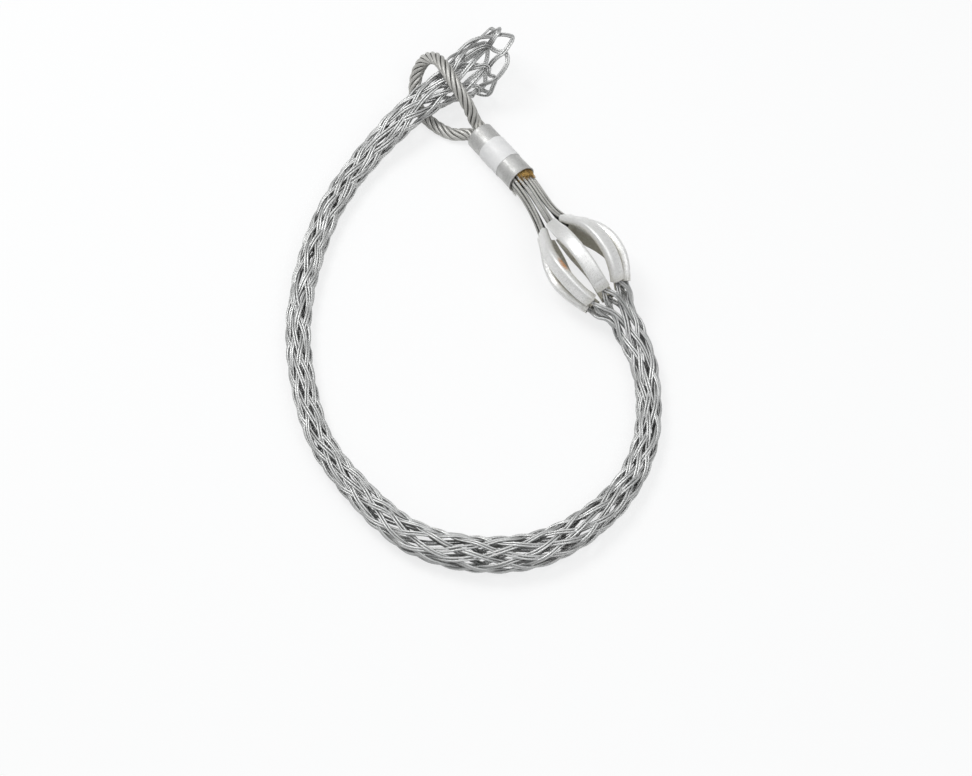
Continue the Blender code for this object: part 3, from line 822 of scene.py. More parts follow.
@dataclass
class RopeEye:
    """The eye: six strands laid round the middle line, each of them a laid strand itself."""

    ferrule: FerruleLay
    strands: int = 6
    diameter: float = 12.2 * MM
    strand_diameter: float = 3.95 * MM
    lay: float = 52.0 * MM
    tightened: float = 0.2
    step: float = 1.3 * MM
    strand_wires: int = 12
    strand_lay: float = 34.0 * MM
    heart_diameter: float = 6.2 * MM
    heart_lay: float = 30.0 * MM
    leg_room: float = 12.8 * MM
    sleeve_room: float = 18.2 * MM
    floor_gap: float = 0.1 * MM
    first_out: tuple[float, float, float] = (0.3, 0.4, 0.85)
    groove_start: float = 0.5 * MM
    groove_depth: float = 1.2 * MM
    wire_furrow_share: float = 0.3
    leg_lean: float = math.radians(55.0)
    leg_offset: float = 6.25 * MM
    end_depth: float = 22.0 * MM
    lead: float = 6.0 * MM
    core_diameter: float = 5.2 * MM
    core_gap: float = 0.3 * MM
    core_share: float = 0.9
    core_lay: float = 18.0 * MM
    core_stick_out: float = 3.0 * MM

    def lean(self) -> np.ndarray:
        """The direction from the ferrule's axis to the upper leg."""
        _, _, side, rise = self.ferrule.axes()
        return rise * math.sin(self.leg_lean) - side * math.cos(self.leg_lean)

    def course(self) -> Course:
        """The middle of the rope, from inside the ferrule round the eye and back."""
        over = self.leg_room + 2.0 * self.sleeve_room + self.diameter / 2.0
        low = self.diameter / 2.0 + self.floor_gap
        rows = (
            (-18.0, 278.0, 0.73 * over),
            (-29.0, 290.5, 0.97 * over),
            (-39.0, 308.5, over),
            (-48.5, 324.0, 0.85 * over),
            (-58.0, 330.0, 0.62 * over),
            (-66.0, 324.0, 0.36 * over),
            (-68.5, 311.0, 1.5 * low),
            (-65.0, 294.5, low),
            (-53.0, 278.0, low),
            (-33.5, 265.0, low),
        )
        start, along, _, _ = self.ferrule.axes()
        lean = self.lean() * self.leg_offset
        inner = self.ferrule.length - self.end_depth
        depths = (inner, inner / 2.0, 0.0, -self.lead)
        upper = [start + lean + along * depth for depth in depths]
        lower = [start - lean + along * depth for depth in reversed(depths)]
        middle = [np.array((x * MM, y * MM, z)) + ORIGIN for x, y, z in rows]
        return Course(np.array(upper + middle + lower))

    def strand_course(self, rope: Course, number: int) -> Course:
        """The helix of one strand round the rope's middle line.

        Args:
            rope: the middle line of the rope.
            number: which strand.

        Returns:
            The strand's own middle line.
        """
        count = int(rope.length / self.step)
        distances = np.linspace(0.0, rope.length, count)
        places = rope.place(distances)
        tangents = rope.tangent(distances)
        outs = [unit(np.array(self.first_out))]
        for tangent in tangents:
            out = outs[-1] - tangent * float(outs[-1] @ tangent)
            outs.append(unit(out))
        outs = np.array(outs[1:])
        across = np.cross(tangents, outs)
        turns = distances / self.lay * (1.0 + self.tightened * (distances / rope.length - 1.0))
        angle = 2.0 * math.pi * (number / self.strands + turns)
        radius = (self.diameter - self.strand_diameter) / 2.0
        offset = outs * np.cos(angle)[:, None] + across * np.sin(angle)[:, None]
        return Course((places + offset * radius)[::2])

    def build(self, material: bpy.types.Material) -> None:
        """Build the eye."""
        rope = self.course()
        strand = LaidStrand(
            self.strand_diameter, self.strand_wires, self.strand_lay, furrow=0.09, step=self.step
        )
        heart = LaidStrand(self.heart_diameter, 3, self.heart_lay, furrow=0.2, step=6.0 * MM)
        parts = [
            strand.draw(f"eye_strand_{number}", self.strand_course(rope, number), number * 0.7, -1)
            for number in range(self.strands)
        ]
        for part in parts:
            self.darken(part, rope)
        parts.append(heart.draw("eye_heart", rope))
        # Painted shade: the heart shows only in the gaps between the strands, so it takes the full
        # furrow colour.
        Bench.mark_all(parts[-1], "furrow", 1.0)
        strand.discard()
        heart.discard()
        piece = Bench.join("eye_rope_laid", parts)
        Bench.settle(piece, Slot.ROPE, material, "eye_rope", sharp=70.0)

    def darken(self, part: bpy.types.Object, rope: Course) -> None:
        """Paint shade on a strand towards the grooves between it and its neighbours, in its furrow
        mark.
        """
        points = Bench.points(part)
        _, apart = rope.around_points(points, MM)
        crown = self.diameter / 2.0
        depth = eased((crown - self.groove_start - apart) / self.groove_depth)
        held = np.zeros(len(points), dtype=np.float32)
        part.data.attributes["furrow"].data.foreach_get("value", held)
        Bench.mark_all(part, "furrow", np.maximum(held * self.wire_furrow_share, depth))

    def build_core_ends(self, material: bpy.types.Material) -> None:
        """Build the frayed ends of the fibre core at the ferrule's mouth."""
        start, along, _, _ = self.ferrule.axes()
        diameter = self.core_diameter * self.core_share
        strand = LaidStrand(diameter, 5, self.core_lay, furrow=0.3, step=0.8 * MM)
        for sign, node in ((1, "core_end_upper"), (-1, "core_end_lower")):
            offset = self.lean() * sign * (self.core_diameter + self.core_gap) / 2.0
            depths = (self.ferrule.length - self.end_depth, self.ferrule.length + self.core_stick_out)
            ends = [start + offset + along * depth for depth in depths]
            piece = strand.draw(node + "_frayed", Course(np.array(ends)), float(sign))
            Bench.settle(piece, Slot.CORE, material, node)
        strand.discard()


@dataclass
class Ferrule:
    """The pressed sleeve, its bare label, and the loose fibres and broken wires at its mouth.

    The ranges of the fibres and wires are millimetres, and each end is drawn from them.
    """

    lay: FerruleLay
    sides: int = 72
    label_start: float = 19.0 * MM
    label_width: float = 26.0 * MM
    label_gap: float = 0.3 * MM
    label_thickness: float = 0.4 * MM
    label_lap: float = 0.18 * MM
    label_lap_start: float = 2.2
    label_crease: float = 0.12 * MM
    label_back: float = 0.05 * MM
    press_depth: float = 0.28 * MM
    press_flats: int = 8
    inner_skin: float = 0.7 * MM
    loose_fibres: int = 140
    fibre_diameter: float = 0.5 * MM
    fibre_spread: float = 0.46
    fibre_ring: tuple[float, float] = (10.2, 12.0)
    fibre_root: tuple[float, float] = (2.0, 5.0)
    fibre_lift: tuple[float, float] = (-0.8, 1.0)
    fibre_sway: float = 1.6
    fibre_reach: tuple[float, float] = (4.0, 8.0)
    fibre_tip: tuple[float, float] = (1.0, 6.0)
    fibre_droop: tuple[float, float] = (0.0, 1.2)
    broken_count: int = 9
    wire_diameter: float = 0.62 * MM
    wire_angle: float = 35.0
    wire_ring: tuple[float, float] = (11.2, 12.6)
    wire_root: tuple[float, float] = (-3.0, 2.0)
    wire_reach: tuple[float, float] = (4.0, 11.0)
    wire_bow: tuple[float, float] = (0.5, 2.6)
    wire_sway: float = 2.5
    wire_bend: tuple[float, float] = (0.2, 1.4)

    def turned(self, name: str, profile: list[tuple[float, float]]) -> bpy.types.Object:
        """Spin a closed (radius, height) profile round the ferrule's axis.

        Args:
            name: the object's name.
            profile: the corners of the section.

        Returns:
            The turned mesh, upright at the origin.
        """
        Bench.clear()
        data = bpy.data.meshes.new(name)
        corners = [(radius, 0.0, height) for radius, height in profile]
        edges = [(index, (index + 1) % len(corners)) for index in range(len(corners))]
        data.from_pydata(corners, edges, [])
        item = Bench.add(name, data)
        Bench.pick(item)
        bpy.ops.object.mode_set(mode="EDIT")
        bpy.ops.mesh.select_all(action="SELECT")
        bpy.ops.mesh.spin(
            steps=self.sides, angle=2.0 * math.pi, center=(0.0, 0.0, 0.0), axis=(0.0, 0.0, 1.0)
        )
        bpy.ops.object.mode_set(mode="OBJECT")
        Bench.seal(item)
        return item

    def lay_map(self, item: bpy.types.Object) -> None:
        """Store the angle and the height of each corner as a map, in centimetres."""
        points = Bench.points(item)
        layer = item.data.uv_layers.new(name="lay")
        for polygon in item.data.polygons:
            first = math.atan2(points[polygon.vertices[0]][1], points[polygon.vertices[0]][0])
            for loop in polygon.loop_indices:
                x, y, z = points[item.data.loops[loop].vertex_index]
                angle = math.atan2(y, x)
                if angle - first > math.pi:
                    angle -= 2.0 * math.pi
                if angle - first < -math.pi:
                    angle += 2.0 * math.pi
                layer.data[loop].uv = (angle * self.lay.outer * 100.0, z * 100.0)

    def stand(self, item: bpy.types.Object) -> None:
        """Turn and move a piece made at the origin to the ferrule's place."""
        start, along, side, rise = self.lay.axes()
        points = Bench.points(item)
        turned = points[:, :1] * rise + points[:, 1:2] * side + points[:, 2:] * along
        Bench.place(item, start + turned)

    def press(self, item: bpy.types.Object) -> None:
        """Leave the shallow flats and dents of the press on an upright sleeve."""
        points = Bench.points(item)
        angle = np.arctan2(points[:, 1], points[:, 0])
        height = points[:, 2] / self.lay.length
        flats = 0.5 + 0.5 * np.cos(self.press_flats * angle)
        waves = np.sin(height * 21.0 + 1.5 * np.sin(angle)) * np.sin(3.0 * angle + height * 5.0)
        middle = eased(np.minimum(height, 1.0 - height) / 0.1)
        inward = self.press_depth * (flats * 0.6 + waves * 0.4) * middle
        radius = np.hypot(points[:, 0], points[:, 1])
        held = np.clip((radius - self.lay.bore) / (self.lay.outer - self.lay.bore), 0.0, 1.0)
        points[:, :2] *= (1.0 - inward * held / np.maximum(radius, MM))[:, None]
        Bench.place(item, points)

    def build_sleeve(self, material: bpy.types.Material) -> None:
        """Build the pressed sleeve."""
        lay = self.lay
        bend = lay.length - lay.flare_length
        steps = np.linspace(2.0 * MM, bend, 26)
        outer = [(lay.outer - 0.5 * MM, 0.0), (lay.outer - 0.15 * MM, 0.15 * MM), (lay.outer, 0.6 * MM)]
        outer += [(lay.outer, float(height)) for height in steps]
        outer += [
            (lay.outer + 0.25 * MM, bend + 2.0 * MM),
            (lay.outer + lay.flare, lay.length - 0.3 * MM),
            (lay.outer + lay.flare - 0.25 * MM, lay.length),
            (lay.bore + lay.flare, lay.length),
            (lay.bore + 0.3 * MM, bend + 1.5 * MM),
            (lay.bore, bend - 1.0 * MM),
            (lay.bore, 0.0),
        ]
        item = self.turned("ferrule_pressed", outer)
        points = Bench.points(item)
        # Painted shade on the inner wall of the bore.
        inner = np.hypot(points[:, 0], points[:, 1]) < lay.bore + self.inner_skin
        Bench.mark(item, "shade_and_grime", inner * 0.9)
        self.lay_map(item)
        self.press(item)
        self.stand(item)
        Bench.settle(item, Slot.FERRULE, material, "ferrule", sharp=40.0)

    def build_label(self, material: bpy.types.Material) -> None:
        """Build the bare label, whose outer end laps over its start."""
        inner = self.lay.outer + self.label_back
        outer = self.lay.outer + self.label_gap + self.label_thickness
        end = self.label_start + self.label_width
        heights = np.linspace(self.label_start, end, 14)
        profile = [(inner, end), (inner, self.label_start)]
        profile += [(outer, float(height)) for height in heights]
        item = self.turned("label_wrap", profile)
        points = Bench.points(item)
        angle = np.arctan2(points[:, 1], points[:, 0])
        radius = np.hypot(points[:, 0], points[:, 1])
        face = radius > inner + 0.2 * MM
        lap = np.where(angle > self.label_lap_start, 1.0, 0.0) * face
        edge = np.sin(angle * 5.0) * 0.25 * MM + np.sin(angle * 11.0 + 1.0) * 0.1 * MM
        crease = self.label_crease * np.sin(angle * 7.0 + points[:, 2] * 260.0) * face
        points[:, :2] *= (1.0 - (self.label_lap * (1.0 - lap) + np.abs(crease)) / radius)[:, None]
        rim = np.abs((points[:, 2] - self.label_start) / self.label_width - 0.5) > 0.45
        points[:, 2] += edge * rim
        self.lay_map(item)
        Bench.place(item, points)
        self.stand(item)
        Bench.settle(item, Slot.LABEL, material, "label_band", sharp=40.0)

    def build_tuft(self, material: bpy.types.Material) -> None:
        """Build the loose fibres of the rope's core that stand out above the strands."""
        _, along, _, _ = self.lay.axes()
        mouth = self.lay.on_axis(self.lay.length)
        draw = np.random.default_rng(5)
        fibre = LaidStrand(self.fibre_diameter, 3, 9.0 * MM, furrow=0.2, step=0.9 * MM)
        parts = []
        for number in range(self.loose_fibres):
            spoke = self.lay.spoke(self.lay.tuft_angle + draw.normal(0.0, self.fibre_spread))
            across = np.cross(along, spoke)
            root = mouth + spoke * draw.uniform(*self.fibre_ring) * MM
            root = root - along * draw.uniform(*self.fibre_root) * MM
            lift = spoke * draw.uniform(*self.fibre_lift) * MM
            sway = across * draw.normal(0.0, self.fibre_sway) * MM
            middle = root + along * draw.uniform(*self.fibre_reach) * MM + lift + sway * 0.4
            tip = middle + along * draw.uniform(*self.fibre_tip) * MM + sway
            tip = tip - spoke * draw.uniform(*self.fibre_droop) * MM
            parts.append(fibre.draw(f"loose_fibre_{number}", Course(np.array((root, middle, tip)))))
        fibre.discard()
        piece = Bench.join("core_tuft", parts)
        Bench.settle(piece, Slot.CORE, material)

    def build_broken_wires(self, material: bpy.types.Material) -> None:
        """Build the few broken wires that stand out of the bunch under the ferrule's mouth."""
        _, along, _, _ = self.lay.axes()
        mouth = self.lay.on_axis(self.lay.length)
        draw = np.random.default_rng(11)
        wire = LaidStrand(self.wire_diameter, 4, 40.0 * MM, furrow=0.08, step=0.8 * MM)
        parts = []
        for number in range(self.broken_count):
            turn = draw.uniform(-self.wire_angle, self.wire_angle)
            spoke = self.lay.spoke(math.radians(turn))
            root = mouth + spoke * draw.uniform(*self.wire_ring) * MM
            root = root + along * draw.uniform(*self.wire_root) * MM
            reach = draw.uniform(*self.wire_reach) * MM
            bow = spoke * draw.uniform(*self.wire_bow) * MM
            sway = np.cross(along, spoke) * draw.uniform(-self.wire_sway, self.wire_sway) * MM
            tip = root + along * reach + bow + sway
            middle = (root + tip) / 2.0 + spoke * draw.uniform(*self.wire_bend) * MM
            parts.append(wire.draw(f"broken_wire_{number}", Course(np.array((root, middle, tip)))))
        wire.discard()
        piece = Bench.join("broken_wires", parts)
        Bench.settle(piece, Slot.ROPE, material)


@dataclass
class Fan:
    """The sixteen strands between the ferrule and the tubes."""

    ferrule: FerruleLay
    cage: CageLay
    diameter: float = 3.1 * MM
    gap: float = 0.3 * MM
    depth: float = 14.0 * MM
    tuft_room: float = 2.8 * MM
    wires: int = 8
    lay: float = 24.0 * MM
    shade_start: float = 0.6 * MM
    shade_depth: float = 1.1 * MM

    def strand_course(self, spine: Course, index: int, sign: int) -> Course:
        """The middle line of one strand.

        Args:
            spine: the middle of the shoulder.
            index: which tube it enters.
            sign: 1 or -1, for the two strands of a tube.

        Returns:
            The course, from the ferrule's bore into the tube.
        """
        tube = self.cage.tube(spine, index)
        _, along, _, _ = self.ferrule.axes()
        angle = self.cage.tube_angle(index) + sign * math.pi / self.cage.count / 2.0
        ring = self.ferrule.bore - self.gap - self.diameter / 2.0
        ring -= self.tuft_room * max(0.0, math.cos(angle - self.ferrule.tuft_angle))
        spoke = self.ferrule.spoke(angle) * ring
        mouth = self.ferrule.on_axis(self.ferrule.length)
        rows = [mouth - along * self.depth + spoke, mouth + spoke]
        for distance in (0.0, self.cage.strand_entry):
            out = self.cage.tube_outward(spine, tube, index, distance)
            across = np.cross(out, tube.tangent(distance))
            rows.append(tube.place(distance) + across * sign * (self.diameter + self.gap) / 2.0)
        return Course(np.array(rows))

    def build(self, spine: Course, material: bpy.types.Material) -> None:
        """Build every strand of the fan."""
        strand = LaidStrand(self.diameter, self.wires, self.lay, furrow=0.16, step=1.4 * MM)
        for index in range(self.cage.count):
            for sign in (-1, 1):
                number = 2 * index + (2 if sign > 0 else 1)
                course = self.strand_course(spine, index, sign)
                piece = strand.draw(f"fan_strand_{number:02d}", course, number * 0.9, -1)
                self.shade_inside(piece, spine, course)
                node = f"shoulder_strand_{number:02d}"
                Bench.settle(piece, Slot.ROPE, material, node, sharp=70.0)
        strand.discard()

    def shade_inside(self, piece: bpy.types.Object, spine: Course, course: Course) -> None:
        """Store how far each point of a strand lies below its outer crown, as painted shade.

        Args:
            piece: the strand.
            spine: the middle of the shoulder.
            course: the strand's middle line.
        """
        points = Bench.points(piece)
        beside, _ = course.around_points(points, MM)
        _, apart = spine.around_points(points, 2.0 * MM)
        _, middle_apart = spine.around_points(course.place(beside), 2.0 * MM)
        under = middle_apart + self.diameter / 2.0 - apart
        Bench.mark(piece, "inside", eased((under - self.shade_start) / self.shade_depth))


@dataclass
class ShoulderTube:
    """One bent tube, pressed onto two strands at its upper end and open at its lower end."""

    cage: CageLay
    index: int
    width: float = 13.8 * MM
    height: float = 8.8 * MM
    wall: float = 1.2 * MM
    pressed: tuple[float, float] = (11.2 * MM, 6.9 * MM)
    press_share: float = 2.0 / 7.0
    flatness: float = 0.55
    sides: int = 40
    rings: int = 140
    dents: tuple[tuple[float, float, float], ...] = (
        (0.905, 0.011, 0.75 * MM),
        (0.06, 0.02, 0.5 * MM),
        (0.12, 0.02, 0.4 * MM),
    )
    map_shift: float = 0.13
    inner_grime: float = 0.9
    end_grime: float = 0.4
    end_share: float = 0.9
    stained: int = 1
    stain_share: float = 0.56
    stain_reach: float = 5.0 * MM
    cage_middle: tuple[float, float, float] = (94.3 * MM, 105.8 * MM, 38.3 * MM)

    def ring_shape(self, share: float) -> tuple[float, float]:
        """Width and height of the tube at a share of its length."""
        opening = min(1.0, share / self.press_share)
        dent = 0.0
        for middle, reach, depth in self.dents:
            dent += depth * math.exp(-(((share - middle) / reach) ** 2))
        width = self.pressed[0] + (self.width - self.pressed[0]) * opening
        height = self.pressed[1] + (self.height - self.pressed[1]) * opening
        return width, height - dent

    def squared(self, wave: np.ndarray) -> np.ndarray:
        """A sine or cosine, drawn out so that the round section gets flat faces."""
        return np.sign(wave) * np.abs(wave) ** self.flatness

    def build(self, spine: Course, material: bpy.types.Material) -> None:
        """Bend a grid into the tube, close its seam and give it its wall."""
        tube = self.cage.tube(spine, self.index)
        Bench.clear()
        bpy.ops.mesh.primitive_grid_add(x_subdivisions=self.sides, y_subdivisions=self.rings, size=2.0)
        item = bpy.context.view_layer.objects.active
        item.name = f"bent_tube_{self.index + 1}"
        flat = Bench.points(item)
        shares = (flat[:, 1] + 1.0) / 2.0
        turns = (flat[:, 0] + 1.0) * math.pi
        places = np.zeros_like(flat)
        levels = np.unique(np.round(shares, 5))
        for share in levels:
            chosen = np.abs(shares - share) < 1e-4
            distance = tube.length * float(share)
            out = self.cage.tube_outward(spine, tube, self.index, distance)
            across = np.cross(tube.tangent(distance), out)
            width, height = self.ring_shape(float(share))
            angle = turns[chosen]
            level = width / 2.0 * self.squared(np.cos(angle))
            raised = height / 2.0 * self.squared(np.sin(angle))
            ring = across * level[:, None] + out * raised[:, None]
            places[chosen] = tube.place(distance) + ring
        Bench.place(item, places)
        self.lay_map(item, tube.length)
        Bench.seal(item, 0.01 * MM)
        inner_start = len(item.data.vertices)
        Bench.apply(item, "SOLIDIFY", thickness=self.wall, offset=-1.0, use_even_offset=True)
        self.soil(item, tube, inner_start)
        Bench.settle(item, Slot.TUBE, material, f"shoulder_tube_{self.index + 1}", sharp=45.0)

    def lay_map(self, item: bpy.types.Object, length: float) -> None:
        """Store the way round and the way along as a map, in centimetres."""
        while item.data.uv_layers:
            item.data.uv_layers.remove(item.data.uv_layers[0])
        layer = item.data.uv_layers.new(name="lay")
        columns = self.sides + 1
        for loop in item.data.loops:
            row, column = divmod(loop.vertex_index, columns)
            around = column / self.sides * math.pi * (self.width + self.height) / 2.0
            along = row / self.rings * length
            layer.data[loop.index].uv = (around * 100.0, (along + self.index * self.map_shift) * 100.0)

    def soil(self, item: bpy.types.Object, tube: Course, inner_start: int) -> None:
        """Store painted shade on the inner wall and on the side that faces the cage's middle, and
        darken towards the open end.

        Args:
            item: the tube.
            tube: its middle line.
            inner_start: the number of the first point of the inner wall.
        """
        points = Bench.points(item)
        beside, _ = tube.around_points(points, 2.0 * MM)
        middle = tube.place(beside)
        inward = unit(np.array(self.cage_middle) + ORIGIN - middle)
        facing = np.einsum("ij,ij->i", unit(points - middle), inward)
        # Painted shade on the side that faces the cage's middle, then a darkening towards the open end.
        shade_and_grime = eased((facing + 0.1) / 0.7) * self.inner_grime
        share = beside / tube.length
        end = eased((share - self.end_share) / (1.0 - self.end_share))
        shade_and_grime = np.maximum(shade_and_grime, end * self.end_grime)
        # Painted shade on the whole inner wall.
        shade_and_grime[inner_start:] = 1.0
        Bench.mark(item, "shade_and_grime", shade_and_grime)
        stain = np.zeros(len(points))
        if self.index == self.stained:
            spot = (share - self.stain_share) * tube.length
            stain = np.exp(-((spot / self.stain_reach) ** 2)) * eased((facing + 0.35) / 0.3)
            stain = np.minimum(1.0, 1.6 * stain * eased((0.8 - facing) / 0.4))
        Bench.mark(item, "rust", stain)


@dataclass
class WovenSleeve:
    """The sleeve: eight pairs of strands, each out of a tube, round, back and into a tube."""

    cage: CageLay
    spine: Course
    diameter: float = 2.25 * MM
    cell: float = 20.0 * MM
    layer_step: float = 2.9 * MM
    open_bore: float = 12.0 * MM
    open_lift: float = 2.0 * MM
    woven_lift: float = 1.22 * MM
    rim_lean: tuple[float, ...] = (-11.0, 8.5, 21.5, 11.0, 5.5, -7.0, -16.0, -17.0)
    rim_reach: tuple[float, ...] = (4.0, 5.5, 5.5, 4.0, 4.5, 4.0, 4.0, 4.0)
    mouth_rows: int = 4
    arch_power: float = 2.0
    arch_points: int = 26
    parts_per_row: int = 5
    lead_rows: int = 1
    wires: int = 6
    lay: float = 17.0 * MM
    stray_angle: float = 0.12
    stray_rates: tuple[float, ...] = (0.06, 0.13, 0.21)
    stray_rows: float = 5.0
    gap_rates: tuple[float, ...] = (14.0, 26.0, 58.0)
    apart: float = 0.51
    apart_more: float = 0.07
    open_reach: float = 110.0 * MM
    point_step: float = 4.0 * MM
    crossing_share: float = 0.95
    lift_over: float = 3.0 * MM
    light_over: float = 8.0 * MM
    mouth_light: float = 0.4
    tube_shade: float = 0.5
    shade_start: float = 1.5 * MM
    shade_depth: float = 3.2 * MM
    stations: np.ndarray = field(default_factory=lambda: np.zeros(1), init=False)

    def __post_init__(self) -> None:
        """Work out the rows of crossings."""
        self.stations = self.find_stations()

    @property
    def last(self) -> int:
        """The number of the last row."""
        return len(self.stations) - 1

    def find_stations(self) -> np.ndarray:
        """Distances along the spine of the rows of crossings."""
        step_angle = math.pi / self.cage.count
        rows = [self.spine.nearest(self.cage.tube(self.spine, 0).rows[-1])]
        while True:
            radius = float(self.spine.column(rows[-1], 3)) + self.cage.wall / 2.0
            step = math.sqrt(self.cell**2 - (radius * step_angle) ** 2)
            if rows[-1] + step > self.spine.length:
                break
            rows.append(rows[-1] + step)
        found = np.array(rows)
        return found[0] + (found - found[0]) * (self.spine.length - found[0]) / (found[-1] - found[0])

    @staticmethod
    def round_rim(angle: np.ndarray, values: tuple[float, ...]) -> np.ndarray:
        """A size in metres at angles round the rim, from millimetres at equal steps round it."""
        steps = np.linspace(0.0, 2.0 * math.pi, len(values), endpoint=False)
        return np.interp(angle, steps, np.array(values) * MM, period=2.0 * math.pi)

    def lift(self, row: np.ndarray) -> np.ndarray:
        """How far a pair that runs out lies above the middle of the wall, by row."""
        rows = np.arange(self.last + 1)
        signs = np.where((rows > self.lead_rows) & ((self.last - rows) % 2 == 1), -1.0, 1.0)
        below = np.clip(np.floor(row).astype(int), 0, self.last)
        above = np.clip(below + 1, 0, self.last)
        share = eased((row - below - 0.5) / self.crossing_share + 0.5)
        sign = signs[below] + (signs[above] - signs[below]) * share
        bore = self.spine.column(np.interp(row, rows, self.stations), 3)
        wide = eased((bore - self.open_bore) / self.lift_over) * (row > self.last / 2.0)
        return sign * (self.woven_lift + (self.open_lift - self.woven_lift) * wide)

    def place(self, row: np.ndarray, angle: np.ndarray, way: Way) -> tuple[np.ndarray, np.ndarray]:
        """Places on the sleeve and the directions out of it.

        Args:
            row: row numbers, which need not be whole.
            angle: angles round the sleeve.
            way: which way the pair runs.

        Returns:
            The places and the outward directions.
        """
        distance = np.interp(row, np.arange(self.last + 1), self.stations)
        near_tube = np.maximum(0.0, 1.0 - row / self.cage.slant_rows)
        distance = distance - self.cage.end_slant * np.maximum(0.0, np.sin(angle)) * near_tube
        bore = self.spine.column(distance, 3)
        neck = self.cage.end_radius - self.cage.wall / 2.0
        bore = bore + (neck - bore) * np.maximum(0.0, 1.0 - row)
        slope = (self.spine.column(distance + MM, 3) - self.spine.column(distance - MM, 3)) / (2.0 * MM)
        tangent = self.spine.tangent(distance)
        out = unit(self.spine.outward(distance, angle) - tangent * slope[:, None])
        share = np.maximum(0.0, 1.0 - (self.last - row) / self.mouth_rows)
        lean = share * self.round_rim(angle, self.rim_lean)
        base = self.spine.around(distance, angle, bore + self.cage.wall / 2.0)
        lifted = base + out * (way.value * self.lift(row))[:, None]
        return lifted + tangent * lean[:, None], out

    def stray(self, row: np.ndarray, seed: int) -> np.ndarray:
        """A small wander of the angle, none at the tubes and at the mouth."""
        rates = tuple(rate * 2.0 * math.pi for rate in self.stray_rates)
        total = waves(np.random.default_rng(seed), row, rates)
        window = eased(row / self.stray_rows) * eased((self.last - row) / self.stray_rows)
        return total * self.stray_angle * window

    def run(self, index: int, way: Way) -> tuple[np.ndarray, np.ndarray]:
        """The stretch of one pair between its tube and the mouth, from the tube's end."""
        count = (self.last * self.parts_per_row) - 2
        row = np.concatenate(([0.0], np.linspace(3.0 / self.parts_per_row, self.last, count)))
        turn = way.value * math.pi / self.cage.count
        seed = 100 + index + (0 if way is Way.OUT else 50)
        twist = self.cage.phase * (1.0 - row / self.last)
        angle = self.cage.angle(index) + turn * row + twist + self.stray(row, seed)
        return self.place(row, angle, way)

    def lead(self, index: int, way: Way) -> tuple[np.ndarray, np.ndarray]:
        """The stretch of a pair inside its tube."""
        tube = self.cage.tube(self.spine, index)
        places, outs = [], []
        for depth in (self.cage.pair_entry, self.cage.pair_entry / 2.0):
            distance = tube.length - depth
            out = self.cage.tube_outward(self.spine, tube, index, distance)
            places.append(tube.place(distance) + out * way.value * self.layer_step / 2.0)
            outs.append(out)
        return np.array(places), np.array(outs)

    def arch(self, index: int) -> tuple[np.ndarray, np.ndarray]:
        """The rounded turn of a pair at the mouth."""
        step_angle = math.pi / self.cage.count
        first = self.cage.angle(index) + self.last * step_angle
        share = np.arange(1, self.arch_points + 1) / (self.arch_points + 1)
        row = np.full(self.arch_points, float(self.last))
        over, out = self.place(row, first + 2.0 * step_angle * share, Way.OUT)
        under, _ = self.place(row, first + 2.0 * step_angle * share, Way.BACK)
        reach = self.round_rim(first + step_angle, self.rim_reach)
        rise = reach * (1.0 - np.abs(2.0 * share - 1.0) ** self.arch_power)
        tangent = self.spine.tangent(self.stations[-1])
        blend = eased(share)[:, None]
        return over * (1.0 - blend) + under * blend + rise[:, None] * tangent, out

    def pair_course(self, index: int) -> Course:
        """The whole middle line of one pair, with its outward direction as further columns."""
        back = (index + self.last + 1) % self.cage.count
        lead, lead_out = self.lead(index, Way.OUT)
        out_run, out_dir = self.run(index, Way.OUT)
        arch, arch_dir = self.arch(index)
        back_run, back_dir = self.run(back, Way.BACK)
        tail, tail_out = self.lead(back, Way.BACK)
        places = np.vstack((lead, out_run, arch, back_run[::-1], tail[::-1]))
        outs = np.vstack((lead_out, out_dir, arch_dir, back_dir[::-1], tail_out[::-1]))
        return Course(np.hstack((places, outs)))

    def build_pair(self, index: int, strand: LaidStrand, material: bpy.types.Material) -> None:
        """Build one pair as two laid strands side by side.

        Args:
            index: which pair.
            strand: the strand's make.
            material: its finish.
        """
        course = self.pair_course(index)
        distances = np.linspace(0.0, course.length, int(course.length / self.point_step))
        places = course.place(distances)
        outs = unit(np.stack([course.column(distances, number) for number in (3, 4, 5)], axis=-1))
        across = unit(np.cross(course.tangent(distances), outs))
        draw = np.random.default_rng(200 + index)
        wander = waves(draw, distances, self.gap_rates)
        open_end = eased(1.0 - np.abs(distances - course.length / 2.0) / self.open_reach)
        more = self.apart_more * np.clip(wander, 0.0, 2.0) * (1.0 - open_end)
        spread = self.diameter * (self.apart + more)
        parts = []
        for sign in (-1, 1):
            line = Course(places + across * (sign * spread)[:, None])
            parts.append(strand.draw(f"strand_{index}_{sign + 1}", line, draw.uniform(*WAVE_STARTS)))
        piece = Bench.join(f"woven_pair_{index + 1}", parts)
        self.shade_inside(piece)
        nodes = (f"mesh_pair_{index + 1}_out", f"mesh_pair_{index + 1}_back")
        Bench.settle(piece, Slot.SLEEVE, material, *nodes, sharp=75.0)

    def shade_inside(self, piece: bpy.types.Object) -> None:
        """Store how deep each point lies under the sleeve's outer crowns, as painted shade that fades
        at the wide mouth and is held at tube_shade before the first row.
        """
        beside, apart = self.spine.around_points(Bench.points(piece), self.point_step)
        bore = self.spine.column(beside, 3)
        under = bore + self.cage.wall - apart
        lit = self.mouth_light * eased((bore - self.open_bore) / self.light_over)
        depth = eased((under - self.shade_start) / self.shade_depth) * (1.0 - lit)
        Bench.mark(piece, "inside", np.where(beside < self.stations[0], self.tube_shade, depth))

